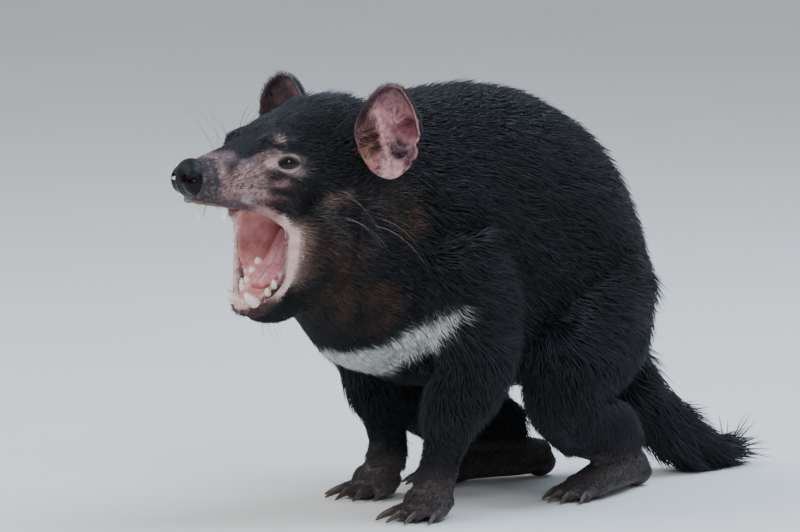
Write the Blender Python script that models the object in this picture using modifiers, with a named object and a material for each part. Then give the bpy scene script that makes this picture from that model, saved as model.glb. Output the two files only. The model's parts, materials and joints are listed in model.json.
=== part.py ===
"""A Tasmanian devil at life size: a short-legged black marsupial standing with its back hunched, its rump low
and its mouth open wide. The whole animal is lofted, fused into one skin and then parted by thin cuts.

Metres. It faces -Y, its left side is +X, and it stands on Z = 0 with the middle of its box at the origin.
"""

import math
import random

import bmesh
import bpy
import numpy as np
from mathutils import Matrix, Vector

# Driving sizes
GAP = 0.0003
HEAD_LENGTH = 0.1495
HEAD_TURN = math.radians(-10)
NOSE_AT = Vector((-0.024, -0.150, 0.0))

# The head is drawn 155 mm long in its own frame: X to its left, Y back from the tip of the nose, Z above the
# floor. It is scaled about a point between the ears.
DRAWN_HEAD_LENGTH = 0.155
BETWEEN_EARS = Vector((0.0, 0.130, 0.187))
HEAD = (
    Matrix.Translation(NOSE_AT)
    @ Matrix.Rotation(HEAD_TURN, 4, "Z")
    @ Matrix.Translation(BETWEEN_EARS)
    @ Matrix.Scale(HEAD_LENGTH / DRAWN_HEAD_LENGTH, 4)
    @ Matrix.Translation(-BETWEEN_EARS)
)

# Trunk and neck: a dorsal and a ventral point on the midline (y, z, y, z) and the half-width between them
TRUNK = (
    (-0.045, 0.244, -0.062, 0.125, 0.044),
    (-0.015, 0.246, -0.045, 0.108, 0.051),
    (0.020, 0.250, -0.024, 0.088, 0.060),
    (0.050, 0.253, 0.015, 0.075, 0.067),
    (0.080, 0.253, 0.062, 0.068, 0.071),
    (0.114, 0.246, 0.098, 0.066, 0.073),
    (0.147, 0.226, 0.122, 0.068, 0.072),
    (0.174, 0.191, 0.140, 0.066, 0.067),
    (0.192, 0.150, 0.158, 0.064, 0.057),
    (0.198, 0.110, 0.178, 0.068, 0.036),
)

# Upper head with the cheeks: distance from the nose, top, bottom, half-width
SKULL = (
    (0.007, 0.215, 0.197, 0.009),
    (0.014, 0.2185, 0.1945, 0.0145),
    (0.026, 0.2228, 0.1925, 0.0185),
    (0.040, 0.2270, 0.1890, 0.022),
    (0.054, 0.2335, 0.184, 0.027),
    (0.066, 0.242, 0.176, 0.034),
    (0.082, 0.2475, 0.160, 0.042),
    (0.100, 0.2500, 0.146, 0.047),
    (0.120, 0.2505, 0.136, 0.048),
    (0.140, 0.249, 0.130, 0.047),
    (0.155, 0.246, 0.126, 0.046),
)

# Lower jaw and throat: an upper and a lower point on the midline (y, z, y, z) and the half-width
JAW = (
    (0.0455, 0.131, 0.050, 0.1225, 0.008),
    (0.052, 0.137, 0.060, 0.118, 0.0145),
    (0.062, 0.147, 0.072, 0.1175, 0.022),
    (0.075, 0.163, 0.088, 0.1230, 0.030),
    (0.090, 0.190, 0.108, 0.1290, 0.038),
    (0.110, 0.200, 0.132, 0.1330, 0.045),
)

# Cheek skin stretched between the jaws behind the corner of the mouth: distance, top, bottom, half-width
CHEEK = (
    (0.0625, 0.194, 0.136, 0.0295),
    (0.073, 0.194, 0.130, 0.034),
    (0.088, 0.196, 0.126, 0.040),
    (0.108, 0.196, 0.126, 0.045),
)

# Cavity of the mouth, from the open air in front to the throat: centre (y, z), half-height vector, half-width
MOUTH = (
    (-0.010, 0.1355, 0.004, 0.0595, 0.036),
    (0.022, 0.1495, 0.004, 0.0445, 0.034),
    (0.048, 0.1592, 0.002, 0.0320, 0.0280),
    (0.065, 0.1667, -0.001, 0.0245, 0.0250),
    (0.079, 0.172, -0.003, 0.017, 0.020),
    (0.092, 0.176, -0.003, 0.009, 0.012),
)

# Limbs: centre (x, y, z) and half sizes sideways and fore-and-aft, for the left side
FORELEG = (
    (0.042, 0.012, 0.165, 0.026, 0.036),
    (0.052, 0.020, 0.128, 0.027, 0.038),
    (0.057, 0.021, 0.094, 0.022, 0.030),
    (0.054, 0.009, 0.068, 0.0185, 0.0215),
    (0.050, 0.006, 0.048, 0.0135, 0.015),
    (0.046, 0.004, 0.033, 0.0118, 0.0128),
    (0.044, 0.000, 0.018, 0.0130, 0.0125),
)
HINDLEG = (
    (0.038, 0.143, 0.142, 0.036, 0.044),
    (0.049, 0.124, 0.106, 0.032, 0.050),
    (0.059, 0.098, 0.076, 0.024, 0.032),
    (0.058, 0.108, 0.056, 0.020, 0.026),
    (0.050, 0.142, 0.042, 0.0165, 0.0225),
    (0.040, 0.172, 0.028, 0.0125, 0.0155),
)
HINDFOOT = (
    (0.034, 0.190, 0.0125, 0.0095, 0.0105),
    (0.040, 0.170, 0.0135, 0.0120, 0.0125),
    (0.048, 0.146, 0.0115, 0.0140, 0.0105),
    (0.053, 0.128, 0.0090, 0.0140, 0.0085),
)
RIGHT_FORELEG = (
    (-0.038, 0.010, 0.160, 0.026, 0.036),
    (-0.046, 0.018, 0.126, 0.025, 0.035),
    (-0.051, 0.038, 0.094, 0.021, 0.026),
    (-0.049, 0.042, 0.070, 0.0175, 0.0195),
    (-0.045, 0.047, 0.050, 0.0135, 0.0145),
    (-0.042, 0.048, 0.034, 0.0118, 0.0128),
    (-0.040, 0.044, 0.018, 0.0130, 0.0125),
)
RIGHT_FOOT_FORWARD = 0.010

# Tail: centre line (x, y, z), radius of the core, and radius out to the tips of its coat
TAIL = (
    (0.000, 0.160, 0.098, 0.0260, 0.0265),
    (0.001, 0.192, 0.080, 0.0195, 0.0225),
    (0.005, 0.214, 0.056, 0.0125, 0.0190),
    (0.011, 0.237, 0.033, 0.0095, 0.0165),
    (0.017, 0.261, 0.0145, 0.0080, 0.0145),
    (0.019, 0.278, 0.0096, 0.0065, 0.0135),
    (0.019, 0.290, 0.0086, 0.0035, 0.0110),
)
LOCK_RINGS = 7
LOCKS_A_RING = 7
LOCK_LENGTH = 0.037
LOCK_WIDTH = 0.0100
LOCK_THICKNESS = 0.0016
LOWEST_HAIR = -0.0006
FIRST_LOCKS_AT = 0.052
LAST_LOCKS_BEFORE_END = 0.004

EYE_AT = Vector((0.0272, 0.0645, 0.2165))
EYE_RADIUS = 0.0066
EAR_ROOT = Vector((0.0525, 0.1205, 0.2065))
EAR_TIP = Vector((0.0580, 0.1190, 0.2630))
EAR_HALF_WIDTH = 0.0212
EAR_CUP = 0.012
EAR_THICKNESS = 0.0024
# The left ear is turned out to the side, the right one to the front and a little inwards.
EAR_TURN_OUT = {1: math.radians(28), -1: math.radians(-10)}
EAR_TWIST = math.radians(34)
EYE_LOOK = Vector((0.80, -0.58, 0.08))
EYE_SLIT = (0.0068, 0.0062, 0.0036)

# Cuts between the parts: outlines across the animal (x, z) or along it (y, z)
FORELEG_CUT = ((0.010, -0.02), (0.010, 0.066), (0.080, 0.124), (0.130, 0.124), (0.130, -0.02))
HINDLEG_CUT = ((0.021, -0.02), (0.021, 0.060), (0.044, 0.150), (0.130, 0.178), (0.130, -0.02))
WRIST_HEIGHT = 0.036
ANKLE_HEIGHT = 0.0245
TAIL_CUT = ((0.178, 0.058), (0.216, 0.102), (0.400, 0.102), (0.400, -0.030), (0.178, -0.030))
NECK_CUT = ((-0.300, 0.350), (0.016, 0.350), (-0.036, 0.020), (-0.300, 0.020))
HEAD_CUT = ((-0.100, 0.113), (-0.100, 0.350), (0.160, 0.350), (0.152, 0.200), (0.112, 0.113))
JAW_CUT = ((0.020, 0.164), (0.054, 0.164), (0.108, 0.108), (0.108, 0.060), (0.020, 0.060))
NOSE_BACK = ((0.0125, 0.100), (0.0125, 0.300), (0.100, 0.300), (0.100, 0.100))
MUZZLE_FRONT = ((-0.100, 0.190), (-0.100, 0.300), (0.0128, 0.300), (0.0128, 0.190))

# Paws, left: palm balls (centre, half sizes), then toes (root, tip, thickness); claws grow from the toes.
FORE_PALM = (((0.044, -0.003, 0.0105), (0.0155, 0.0150, 0.0112)),)
FORE_TOES = (
    ((0.0325, -0.004, 0.0060), (0.0290, -0.0130, 0.0050), 0.0046),
    ((0.0380, -0.011, 0.0070), (0.0355, -0.0215, 0.0052), 0.0050),
    ((0.0440, -0.012, 0.0070), (0.0440, -0.0240, 0.0052), 0.0052),
    ((0.0500, -0.011, 0.0070), (0.0525, -0.0215, 0.0052), 0.0050),
    ((0.0555, -0.004, 0.0060), (0.0600, -0.0130, 0.0050), 0.0046),
)
RIGHT_FOREPAW_AT = (0.0, 0.044, 0.0)
CLAW_ARCH = 0.0012
CLAW_TIP_HEIGHT = 0.0008
FORE_CLAW = 0.011
HIND_CLAW = 0.008
FOREPAW_TRIANGLES = 640
HINDFOOT_TRIANGLES = 560
HIND_PALM = (((0.053, 0.126, 0.0080), (0.0150, 0.0150, 0.0085)), ((0.036, 0.186, 0.0085), (0.010, 0.012, 0.0090)))
HIND_TOES = (
    ((0.0440, 0.118, 0.0065), (0.0430, 0.1080, 0.0050), 0.0047),
    ((0.0500, 0.115, 0.0068), (0.0505, 0.1040, 0.0050), 0.0049),
    ((0.0560, 0.115, 0.0068), (0.0585, 0.1040, 0.0050), 0.0049),
    ((0.0620, 0.119, 0.0065), (0.0660, 0.1100, 0.0050), 0.0047),
)

# Hollows of the mouth in the head's frame, next to MOUTH: centre (y, z), half-height vector, half-width
PALATE = (
    (0.014, 0.1938, 0.0, 0.0040, 0.0070),
    (0.024, 0.1936, 0.0, 0.0050, 0.0110),
    (0.045, 0.1918, 0.0, 0.0060, 0.0150),
    (0.064, 0.1905, 0.0, 0.0080, 0.0180),
    (0.082, 0.1880, 0.0, 0.0080, 0.0150),
)
MOUTH_FLOOR = (
    (0.0500, 0.1390, -0.0035, 0.0035, 0.0050),
    (0.0570, 0.1440, -0.0050, 0.0050, 0.0095),
    (0.0660, 0.1500, -0.0060, 0.0060, 0.0140),
    (0.0780, 0.1580, -0.0060, 0.0060, 0.0160),
)
TONGUE_LINE = (
    (0.0, 0.0590, 0.1395, 0.0070, 0.0030),
    (0.0, 0.0660, 0.1445, 0.0105, 0.0050),
    (0.0, 0.0740, 0.1505, 0.0125, 0.0068),
    (0.0, 0.0820, 0.1580, 0.0130, 0.0085),
    (0.0, 0.0880, 0.1660, 0.0120, 0.0080),
)
NOSE_PAD = (
    ((0.0, 0.0118, 0.2085), (0.0115, 0.0100, 0.0122)),
    ((0.0062, 0.0098, 0.2075), (0.0066, 0.0076, 0.0090)),
    ((-0.0062, 0.0098, 0.2075), (0.0066, 0.0076, 0.0090)),
)
NOSTRIL = (((0.0060, 0.0023, 0.2090), (0.0026, 0.0060, 0.0024)), ((0.0105, 0.0063, 0.2075), (0.0040, 0.0035, 0.0013)))

# Lip and gum lines, left half, in the head's frame: x, y, z and the roll's radius
UPPER_LIP = (
    (0.0000, 0.0120, 0.1955, 0.0022),
    (0.0090, 0.0150, 0.1945, 0.0025),
    (0.0145, 0.0250, 0.1932, 0.0026),
    (0.0186, 0.0400, 0.1908, 0.0028),
    (0.0225, 0.0520, 0.1876, 0.0032),
    (0.0268, 0.0600, 0.1825, 0.0034),
)
MOUTH_CORNER = (
    (0.0268, 0.0600, 0.1825, 0.0034),
    (0.0308, 0.0650, 0.1740, 0.0024),
    (0.0306, 0.0650, 0.1580, 0.0024),
    (0.0286, 0.0630, 0.1450, 0.0024),
    (0.0215, 0.0580, 0.1340, 0.0024),
    (0.0120, 0.0515, 0.1270, 0.0023),
    (0.0000, 0.0480, 0.1255, 0.0022),
)
UPPER_GUM = (
    (0.0000, 0.0165, 0.1965, 0.0022),
    (0.0080, 0.0195, 0.1963, 0.0024),
    (0.0122, 0.0260, 0.1960, 0.0027),
    (0.0145, 0.0400, 0.1938, 0.0027),
    (0.0175, 0.0560, 0.1912, 0.0027),
    (0.0190, 0.0660, 0.1890, 0.0022),
)
LOWER_GUM = (
    (0.0000, 0.0500, 0.1290, 0.0022),
    (0.0060, 0.0505, 0.1295, 0.0024),
    (0.0105, 0.0540, 0.1310, 0.0028),
    (0.0140, 0.0620, 0.1385, 0.0028),
    (0.0168, 0.0720, 0.1485, 0.0028),
    (0.0185, 0.0790, 0.1560, 0.0022),
)

# Teeth, left half: root under the gum, tip, width and depth
UPPER_TEETH = (
    ((0.0020, 0.0165, 0.1980), (0.0020, 0.0160, 0.1917), 0.0030, 0.0026),
    ((0.0052, 0.0175, 0.1980), (0.0054, 0.0172, 0.1915), 0.0030, 0.0026),
    ((0.0082, 0.0195, 0.1980), (0.0086, 0.0192, 0.1915), 0.0030, 0.0026),
    ((0.0118, 0.0250, 0.1995), (0.0134, 0.0225, 0.1805), 0.0068, 0.0060),
    ((0.0132, 0.0335, 0.1970), (0.0134, 0.0335, 0.1902), 0.0044, 0.0042),
    ((0.0146, 0.0405, 0.1955), (0.0148, 0.0405, 0.1885), 0.0050, 0.0046),
    ((0.0162, 0.0485, 0.1940), (0.0164, 0.0485, 0.1872), 0.0062, 0.0058),
    ((0.0180, 0.0570, 0.1920), (0.0182, 0.0570, 0.1855), 0.0066, 0.0066),
)
LOWER_TEETH = (
    ((0.0022, 0.0500, 0.1280), (0.0022, 0.0468, 0.1330), 0.0028, 0.0026),
    ((0.0052, 0.0505, 0.1285), (0.0053, 0.0472, 0.1335), 0.0028, 0.0026),
    ((0.0100, 0.0560, 0.1275), (0.0116, 0.0425, 0.1365), 0.0068, 0.0062),
    ((0.0132, 0.0600, 0.1345), (0.0138, 0.0560, 0.1415), 0.0044, 0.0042),
    ((0.0145, 0.0640, 0.1390), (0.0150, 0.0595, 0.1465), 0.0048, 0.0046),
    ((0.0160, 0.0695, 0.1440), (0.0165, 0.0645, 0.1515), 0.0056, 0.0054),
    ((0.0175, 0.0750, 0.1495), (0.0182, 0.0700, 0.1570), 0.0062, 0.0060),
)

BELOW_FLOOR = ((-0.2, -0.05), (0.2, -0.05), (0.2, 0.0), (-0.2, 0.0))


def clear_scene():
    for obj in list(bpy.data.objects):
        bpy.data.objects.remove(obj)


def collection_named(name):
    made = bpy.data.collections.new(name)
    bpy.context.scene.collection.children.link(made)
    return made


def add_object(name, bm, group):
    """Makes an object of a bmesh, with its faces pointing out."""
    bmesh.ops.recalc_face_normals(bm, faces=bm.faces)
    mesh = bpy.data.meshes.new(name)
    bm.to_mesh(mesh)
    bm.free()
    obj = bpy.data.objects.new(name, mesh)
    group.objects.link(obj)
    return obj


def curve_through(stations, steps=4):
    """Catmull-Rom values through the stations, with this many rings to each span."""
    rows = np.array(stations, float)
    rows = np.vstack([2 * rows[0] - rows[1], rows, 2 * rows[-1] - rows[-2]])
    found = []
    for i in range(1, len(rows) - 2):
        a, b, c, d = rows[i - 1 : i + 3]
        for t in np.arange(steps) / steps:
            square, cube = t * t, t * t * t
            found.append(
                0.5 * (2 * b + (c - a) * t + (2 * a - 5 * b + 4 * c - d) * square + (3 * b - a - 3 * c + d) * cube)
            )
    found.append(rows[-2])
    return np.array(found)


def loft(name, rings, sides=28, power=2.2):
    """A closed solid through rings of (centre, sideways half-vector, upward half-vector)."""
    bm = bmesh.new()
    angles = [2 * math.pi * k / sides for k in range(sides)]

    def bulge(value):
        return math.copysign(abs(value) ** (2 / power), value)

    loops = [
        [bm.verts.new(centre + side * bulge(math.cos(a)) + up * bulge(math.sin(a))) for a in angles]
        for centre, side, up in rings
    ]
    for first, second in zip(loops, loops[1:]):
        for k in range(sides):
            bm.faces.new((first[k], first[(k + 1) % sides], second[(k + 1) % sides], second[k]))
    bm.faces.new(loops[0])
    bm.faces.new(loops[-1])
    return add_object(name, bm, DRAFTS)


def midline_loft(name, stations, frame=Matrix(), **options):
    """A loft whose sections stand on the midline, from (y, z) above to (y, z) below, this half-width."""
    rings = []
    for y_top, z_top, y_low, z_low, half in curve_through(stations):
        top, low = Vector((0, y_top, z_top)), Vector((0, y_low, z_low))
        rings.append(((top + low) / 2, Vector((half, 0, 0)), (top - low) / 2))
    made = loft(name, rings, **options)
    made.data.transform(frame)
    return made


def cavity_loft(name, stations):
    """A cutter in the mouth, through sections of (y, z) of the centre, (y, z) of the half-height, half-width."""
    rings = [
        (Vector((0, y, z)), Vector((half, 0, 0)), Vector((0, up_y, up_z)))
        for y, z, up_y, up_z, half in curve_through(stations)
    ]
    made = loft(name, rings, sides=20, power=2.5)
    made.data.transform(HEAD)
    return made


def upright(stations):
    """Stations given as (distance, top, bottom, half-width), as dorsal and ventral points."""
    return [(y, top, y, bottom, half) for y, top, bottom, half in stations]


def limb(name, stations, sides=20, power=2.0, steps=4):
    """A loft along a bent line of (x, y, z, half size sideways, other half size)."""
    rows = curve_through(stations, steps)
    line = [Vector(row[:3]) for row in rows]
    rings = []
    for k, row in enumerate(rows):
        along = (line[min(k + 1, len(line) - 1)] - line[max(k - 1, 0)]).normalized()
        side = (Vector((1, 0, 0)) - along * along.x).normalized()
        rings.append((line[k], side * row[3], side.cross(along) * row[-1]))
    return loft(name, rings, sides=sides, power=power)


def ball(name, centre, half_sizes, frame=Matrix(), segments=24):
    bpy.ops.mesh.primitive_uv_sphere_add(segments=segments, ring_count=segments // 2, radius=1)
    made = bpy.context.object
    made.name = name
    made.data.transform(frame @ Matrix.Translation(centre) @ Matrix.Diagonal((*half_sizes, 1)))
    for group in made.users_collection:
        group.objects.unlink(made)
    DRAFTS.objects.link(made)
    return made


def copy_of(obj, name):
    made = bpy.data.objects.new(name, obj.data.copy())
    DRAFTS.objects.link(made)
    return made


def apply_modifiers(obj):
    bpy.context.view_layer.update()
    evaluated = obj.evaluated_get(bpy.context.evaluated_depsgraph_get())
    mesh = bpy.data.meshes.new_from_object(evaluated)
    obj.modifiers.clear()
    obj.data = mesh
    return obj


def fuse(name, pieces, voxel, smoothing, triangles):
    """One skin over overlapping pieces: remeshed, smoothed and thinned to about this many triangles."""
    bm = bmesh.new()
    for piece in pieces:
        bm.from_mesh(piece.data)
    made = add_object(name, bm, DRAFTS)
    remesh = made.modifiers.new("Remesh", "REMESH")
    remesh.mode = "VOXEL"
    remesh.voxel_size = voxel
    smooth = made.modifiers.new("Smooth", "SMOOTH")
    smooth.factor = 0.5
    smooth.iterations = smoothing
    apply_modifiers(made)
    made.data.calc_loop_triangles()
    thin = made.modifiers.new("Decimate", "DECIMATE")
    thin.ratio = triangles / len(made.data.loop_triangles)
    thin.use_collapse_triangulate = True
    return apply_modifiers(made)


def combine(obj, other, operation):
    """Applies a Boolean of obj with one closed mesh."""
    boolean = obj.modifiers.new("Boolean", "BOOLEAN")
    boolean.operation = operation
    boolean.solver = "EXACT"
    boolean.object = other
    return apply_modifiers(obj)


def grown(obj, by=GAP):
    """A copy of a solid with its surface moved out."""
    made = copy_of(obj, obj.name + "_grown")
    displace = made.modifiers.new("Grow", "DISPLACE")
    displace.strength = by
    displace.mid_level = 0
    return apply_modifiers(made)


def join_into(obj, pieces):
    """One Boolean union of closed pieces, each sunk into the solid."""
    group = collection_named(obj.name + "_pieces")
    for piece in pieces:
        group.objects.link(piece)
        DRAFTS.objects.unlink(piece)
    boolean = obj.modifiers.new("Union", "BOOLEAN")
    boolean.operation = "UNION"
    boolean.solver = "EXACT"
    boolean.operand_type = "COLLECTION"
    boolean.collection = group
    apply_modifiers(obj)
    for piece in pieces:
        bpy.data.objects.remove(piece)
    bpy.data.collections.remove(group)
    return obj


def largest_shell(obj):
    """Keeps the largest closed surface of a mesh."""
    bm = bmesh.new()
    bm.from_mesh(obj.data)
    bmesh.ops.remove_doubles(bm, verts=bm.verts, dist=1e-6)
    bmesh.ops.triangulate(bm, faces=bm.faces)
    unseen = set(bm.faces)
    shells = []
    while unseen:
        stack = [unseen.pop()]
        shell = []
        while stack:
            face = stack.pop()
            shell.append(face)
            near = {other for edge in face.edges for other in edge.link_faces if other in unseen}
            unseen -= near
            stack.extend(near)
        shells.append(shell)
    shells.sort(key=lambda shell: sum(face.calc_area() for face in shell))
    bmesh.ops.delete(bm, geom=[f for s in shells[:-1] for f in s], context="FACES")
    bm.to_mesh(obj.data)
    bm.free()
    return obj


def prism(name, outline, start, end, grow=0.0, along="Y", frame=Matrix()):
    """A closed cutter: an outline of (across, height) points carried from start to end, its sides moved out."""
    centre = sum((Vector(p) for p in outline), Vector((0, 0))) / len(outline)
    bm = bmesh.new()
    corners = []
    for point in outline:
        across, height = Vector(point) + (Vector(point) - centre).normalized() * grow * 1.4
        corners.append((across, start - grow, height) if along == "Y" else (start - grow, across, height))
    shift = (end - start + 2 * grow) * (Vector((0, 1, 0)) if along == "Y" else Vector((1, 0, 0)))
    near = [bm.verts.new(c) for c in corners]
    far = [bm.verts.new(Vector(c) + shift) for c in corners]
    bm.faces.new(near)
    bm.faces.new(far)
    for k in range(len(near)):
        m = (k + 1) % len(near)
        bm.faces.new((near[k], near[m], far[m], far[k]))
    made = add_object(name, bm, DRAFTS)
    made.data.transform(frame)
    return made


def part_off(rest, name, outline, start, end, **options):
    """Cuts the piece inside a prism from a solid, and leaves the solid a gap's width away from it."""
    piece = copy_of(rest, name)
    combine(piece, prism(name + "_in", outline, start, end, -GAP / 2, **options), "INTERSECT")
    combine(rest, prism(name + "_out", outline, start, end, GAP / 2, **options), "DIFFERENCE")
    return piece


def tooth(root, tip, width, depth, frame=Matrix(), lift=0.0, sides=6, rows=3):
    """A bent, pointed cone from under the gum to its tip; also used for the claws."""
    root, tip = Vector(root), Vector(tip)
    along = (tip - root).normalized()
    side = along.cross(Vector((0, 1, 0)) if abs(along.y) < 0.7 else Vector((0, 0, 1))).normalized()
    other = along.cross(side)
    bm = bmesh.new()
    loops = []
    for row in range(rows):
        t = row / rows
        swell = math.sqrt(max(0.0, 1 - t ** 1.8))
        centre = root.lerp(tip, t) + Vector((0, 0, lift * 4 * t * (1 - t)))
        loops.append(
            [
                bm.verts.new(
                    centre
                    + side * math.cos(2 * math.pi * k / sides) * width * swell / 2
                    + other * math.sin(2 * math.pi * k / sides) * depth * swell / 2
                )
                for k in range(sides)
            ]
        )
    point = bm.verts.new(tip)
    bm.faces.new(loops[0])
    for first, second in zip(loops, loops[1:]):
        for k in range(sides):
            bm.faces.new((first[k], first[(k + 1) % sides], second[(k + 1) % sides], second[k]))
    for k in range(sides):
        bm.faces.new((loops[-1][k], loops[-1][(k + 1) % sides], point))
    made = add_object("tooth", bm, DRAFTS)
    made.data.transform(frame)
    return made


def lock(root, bend, tip, across, width, thickness, lowest):
    """A flat, tapered lock of hair on a bent line from its sunk root to its tip, laid along the floor."""
    bm = bmesh.new()
    loops = []
    for t, share in ((0.0, 0.75), (0.3, 1.0), (0.6, 0.85), (0.85, 0.45)):
        centre = root * (1 - t) ** 2 + bend * 2 * t * (1 - t) + tip * t * t
        along = ((bend - root) * (1 - t) + (tip - bend) * t).normalized()
        out = across.cross(along).normalized()
        half, thin = across * width * share / 2, out * thickness * share / 2
        corners = (centre - half, centre - half * 0.3 + thin, centre + half, centre - half * 0.3 - thin)
        loops.append([bm.verts.new((c.x, c.y, max(c.z, lowest))) for c in corners])
    point = bm.verts.new((tip.x, tip.y, max(tip.z, lowest + thickness)))
    bm.faces.new(loops[0])
    for first, second in zip(loops, loops[1:]):
        for k in range(4):
            bm.faces.new((first[k], first[(k + 1) % 4], second[(k + 1) % 4], second[k]))
    for k in range(4):
        bm.faces.new((loops[-1][k], loops[-1][(k + 1) % 4], point))
    return add_object("lock", bm, DRAFTS)


def tail_locks():
    """Overlapping locks in rings down the tail, each from the core out to the coat's outline, and a brushed end."""
    dice = random.Random(11)
    rows = curve_through(TAIL, 12)
    length = np.concatenate([[0], np.cumsum(np.linalg.norm(np.diff(rows[:, :3], axis=0), axis=1))])

    def at(distance):
        inside = min(distance, length[-1])
        row = [float(np.interp(inside, length, rows[:, k])) for k in range(5)]
        ahead = [float(np.interp(min(inside + 0.004, length[-1]), length, rows[:, k])) for k in range(3)]
        behind = [float(np.interp(inside - 0.004, length, rows[:, k])) for k in range(3)]
        along = (Vector(ahead) - Vector(behind)).normalized()
        centre = Vector(row[:3]) + along * (distance - inside)
        return centre, along, row[3], row[4]

    made = []
    start, end = FIRST_LOCKS_AT, length[-1] - LAST_LOCKS_BEFORE_END
    for ring in range(LOCK_RINGS):
        place = start + (end - start) * ring / (LOCK_RINGS - 1)
        for k in range(LOCKS_A_RING):
            here = place + dice.uniform(-0.003, 0.003)
            reach = LOCK_LENGTH * dice.uniform(0.85, 1.1)
            angle = 2 * math.pi * (k + 0.5 * (ring % 2) + dice.uniform(-0.12, 0.12)) / LOCKS_A_RING
            centre, along, core, _ = at(here)
            middle, _, _, outer_there = at(here + reach * 0.5)
            tip, _, _, outer = at(here + reach)
            side = along.cross(Vector((1, 0, 0))).normalized()
            out = side * math.cos(angle) + along.cross(side) * math.sin(angle)
            past = max(0.0, here + reach - length[-1]) / LOCK_LENGTH
            spread = outer * (1 - 0.75 * past)
            made.append(
                lock(
                    centre + out * core * 0.45,
                    middle + out * outer_there * 0.98,
                    tip + out * spread * dice.uniform(0.80, 1.0),
                    along.cross(out).normalized(),
                    LOCK_WIDTH * (0.7 + 0.3 * outer / 0.016) * dice.uniform(0.9, 1.1),
                    LOCK_THICKNESS,
                    LOWEST_HAIR + dice.uniform(0, 0.0004),
                )
            )
    return made


def ear(name, side):
    """A cupped ear, turned further out at its base, with a notch in its outer edge; side is 1 on the left."""
    up = (EAR_TIP - EAR_ROOT).normalized()
    middle, half_height = (EAR_ROOT + EAR_TIP) / 2, (EAR_TIP - EAR_ROOT).length / 2
    spokes, hoops = 22, 4
    bm = bmesh.new()

    def place(hoop, spoke, back):
        r = hoop / hoops
        a = 2 * math.pi * spoke / spokes
        across, height = r * math.cos(a), r * math.sin(a)
        low = min(1.0, max(0.0, (0.3 - height) / 1.2))
        turn = EAR_TURN_OUT[side] + EAR_TWIST * low
        facing = Vector((math.sin(turn), -math.cos(turn), 0))
        facing = (facing - up * facing.dot(up)).normalized()
        outward = Vector((math.cos(turn), math.sin(turn), 0))
        narrow = 1 - 0.16 * max(0.0, -height) - 0.10 * max(0.0, height) ** 2
        notch = 1 - 0.10 * math.exp(-(((a - 5.85) / 0.16) ** 2)) * r ** 4
        cup = EAR_CUP * (1 - r ** 2.4) * (1 - 0.45 * low)
        cup += 0.004 * math.exp(-(((height + 0.1) / 0.18) ** 2) - ((across - 0.15) / 0.4) ** 2) * -1
        point = middle + outward * across * narrow * notch * EAR_HALF_WIDTH + up * height * half_height
        point -= facing * (cup - 0.006 * across ** 2)
        return point - facing * EAR_THICKNESS * (0.55 + 0.45 * (1 - r)) * (1 if back else 0)

    grids = []
    for back in (False, True):
        centre = bm.verts.new(place(0, 0, back))
        loops = [[bm.verts.new(place(h, k, back)) for k in range(spokes)] for h in range(1, hoops + 1)]
        for k in range(spokes):
            bm.faces.new((centre, loops[0][k], loops[0][(k + 1) % spokes]))
        for first, second in zip(loops, loops[1:]):
            for k in range(spokes):
                bm.faces.new((first[k], first[(k + 1) % spokes], second[(k + 1) % spokes], second[k]))
        grids.append(loops[-1])
    for k in range(spokes):
        bm.faces.new((grids[0][k], grids[0][(k + 1) % spokes], grids[1][(k + 1) % spokes], grids[1][k]))
    made = add_object(name, bm, DRAFTS)
    made.data.transform(HEAD @ Matrix.Diagonal((side, 1, 1, 1)))
    if side < 0:
        made.data.flip_normals()
    return made


def paw(name, limb_pieces, palm, toes, claw_length, triangles):
    """The lower end of a limb with its palm, toes and claws, standing on soles cut flat at the floor."""
    pieces = list(limb_pieces) + [ball("palm", centre, sizes) for centre, sizes in palm]
    claws = []
    for root, tip, thick in toes:
        root, tip = Vector(root), Vector(tip)
        for t in (0.0, 0.33, 0.67, 1.0):
            size = thick * (1.0 - 0.12 * t)
            pieces.append(ball("toe", root.lerp(tip, t), (size, size * 1.3, size), segments=12))
        ahead = Vector((tip.x - root.x, tip.y - root.y, 0)).normalized()
        start = tip + Vector((0, 0, thick * 0.15))
        end = tip + ahead * (claw_length + thick * 0.8)
        end.z = CLAW_TIP_HEIGHT
        claws.append(tooth(start, end, thick * 0.75, thick * 0.95, lift=CLAW_ARCH))
    made = fuse(name, pieces, 0.0013, 3, triangles)
    join_into(made, claws)
    return combine(made, prism(name + "_floor", BELOW_FLOOR, -0.3, 0.4), "DIFFERENCE")


def material(name, colour, roughness=0.6, metallic=0.0):
    made = bpy.data.materials.new(name)
    made.use_nodes = True
    shader = made.node_tree.nodes["Principled BSDF"]
    shader.inputs["Base Color"].default_value = (*colour, 1)
    shader.inputs["Roughness"].default_value = roughness
    shader.inputs["Metallic"].default_value = metallic
    return made


def finish(obj, name, finish_material):
    """Puts a finished solid in the animal's collection under its own name."""
    largest_shell(obj)
    obj.name = name
    obj.data.name = name
    obj.data.materials.clear()
    obj.data.materials.append(finish_material)
    DRAFTS.objects.unlink(obj)
    ANIMAL.objects.link(obj)
    NODES.append(obj)
    return obj


def moved(rows, shift):
    """The rows of a left paw for the right one: mirrored, and then shifted."""
    found = []
    for row in rows:
        points = [
            Vector((-value[0], *value[1:])) + Vector(shift) if isinstance(value, tuple) and k < len(row) - 1 else value
            for k, value in enumerate(row)
        ]
        found.append(points)
    return found


def mirrored(stations, forward=0.0):
    """The same stations on the right side."""
    return [(-row[0], row[1] - forward, *row[2:]) for row in stations]


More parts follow.
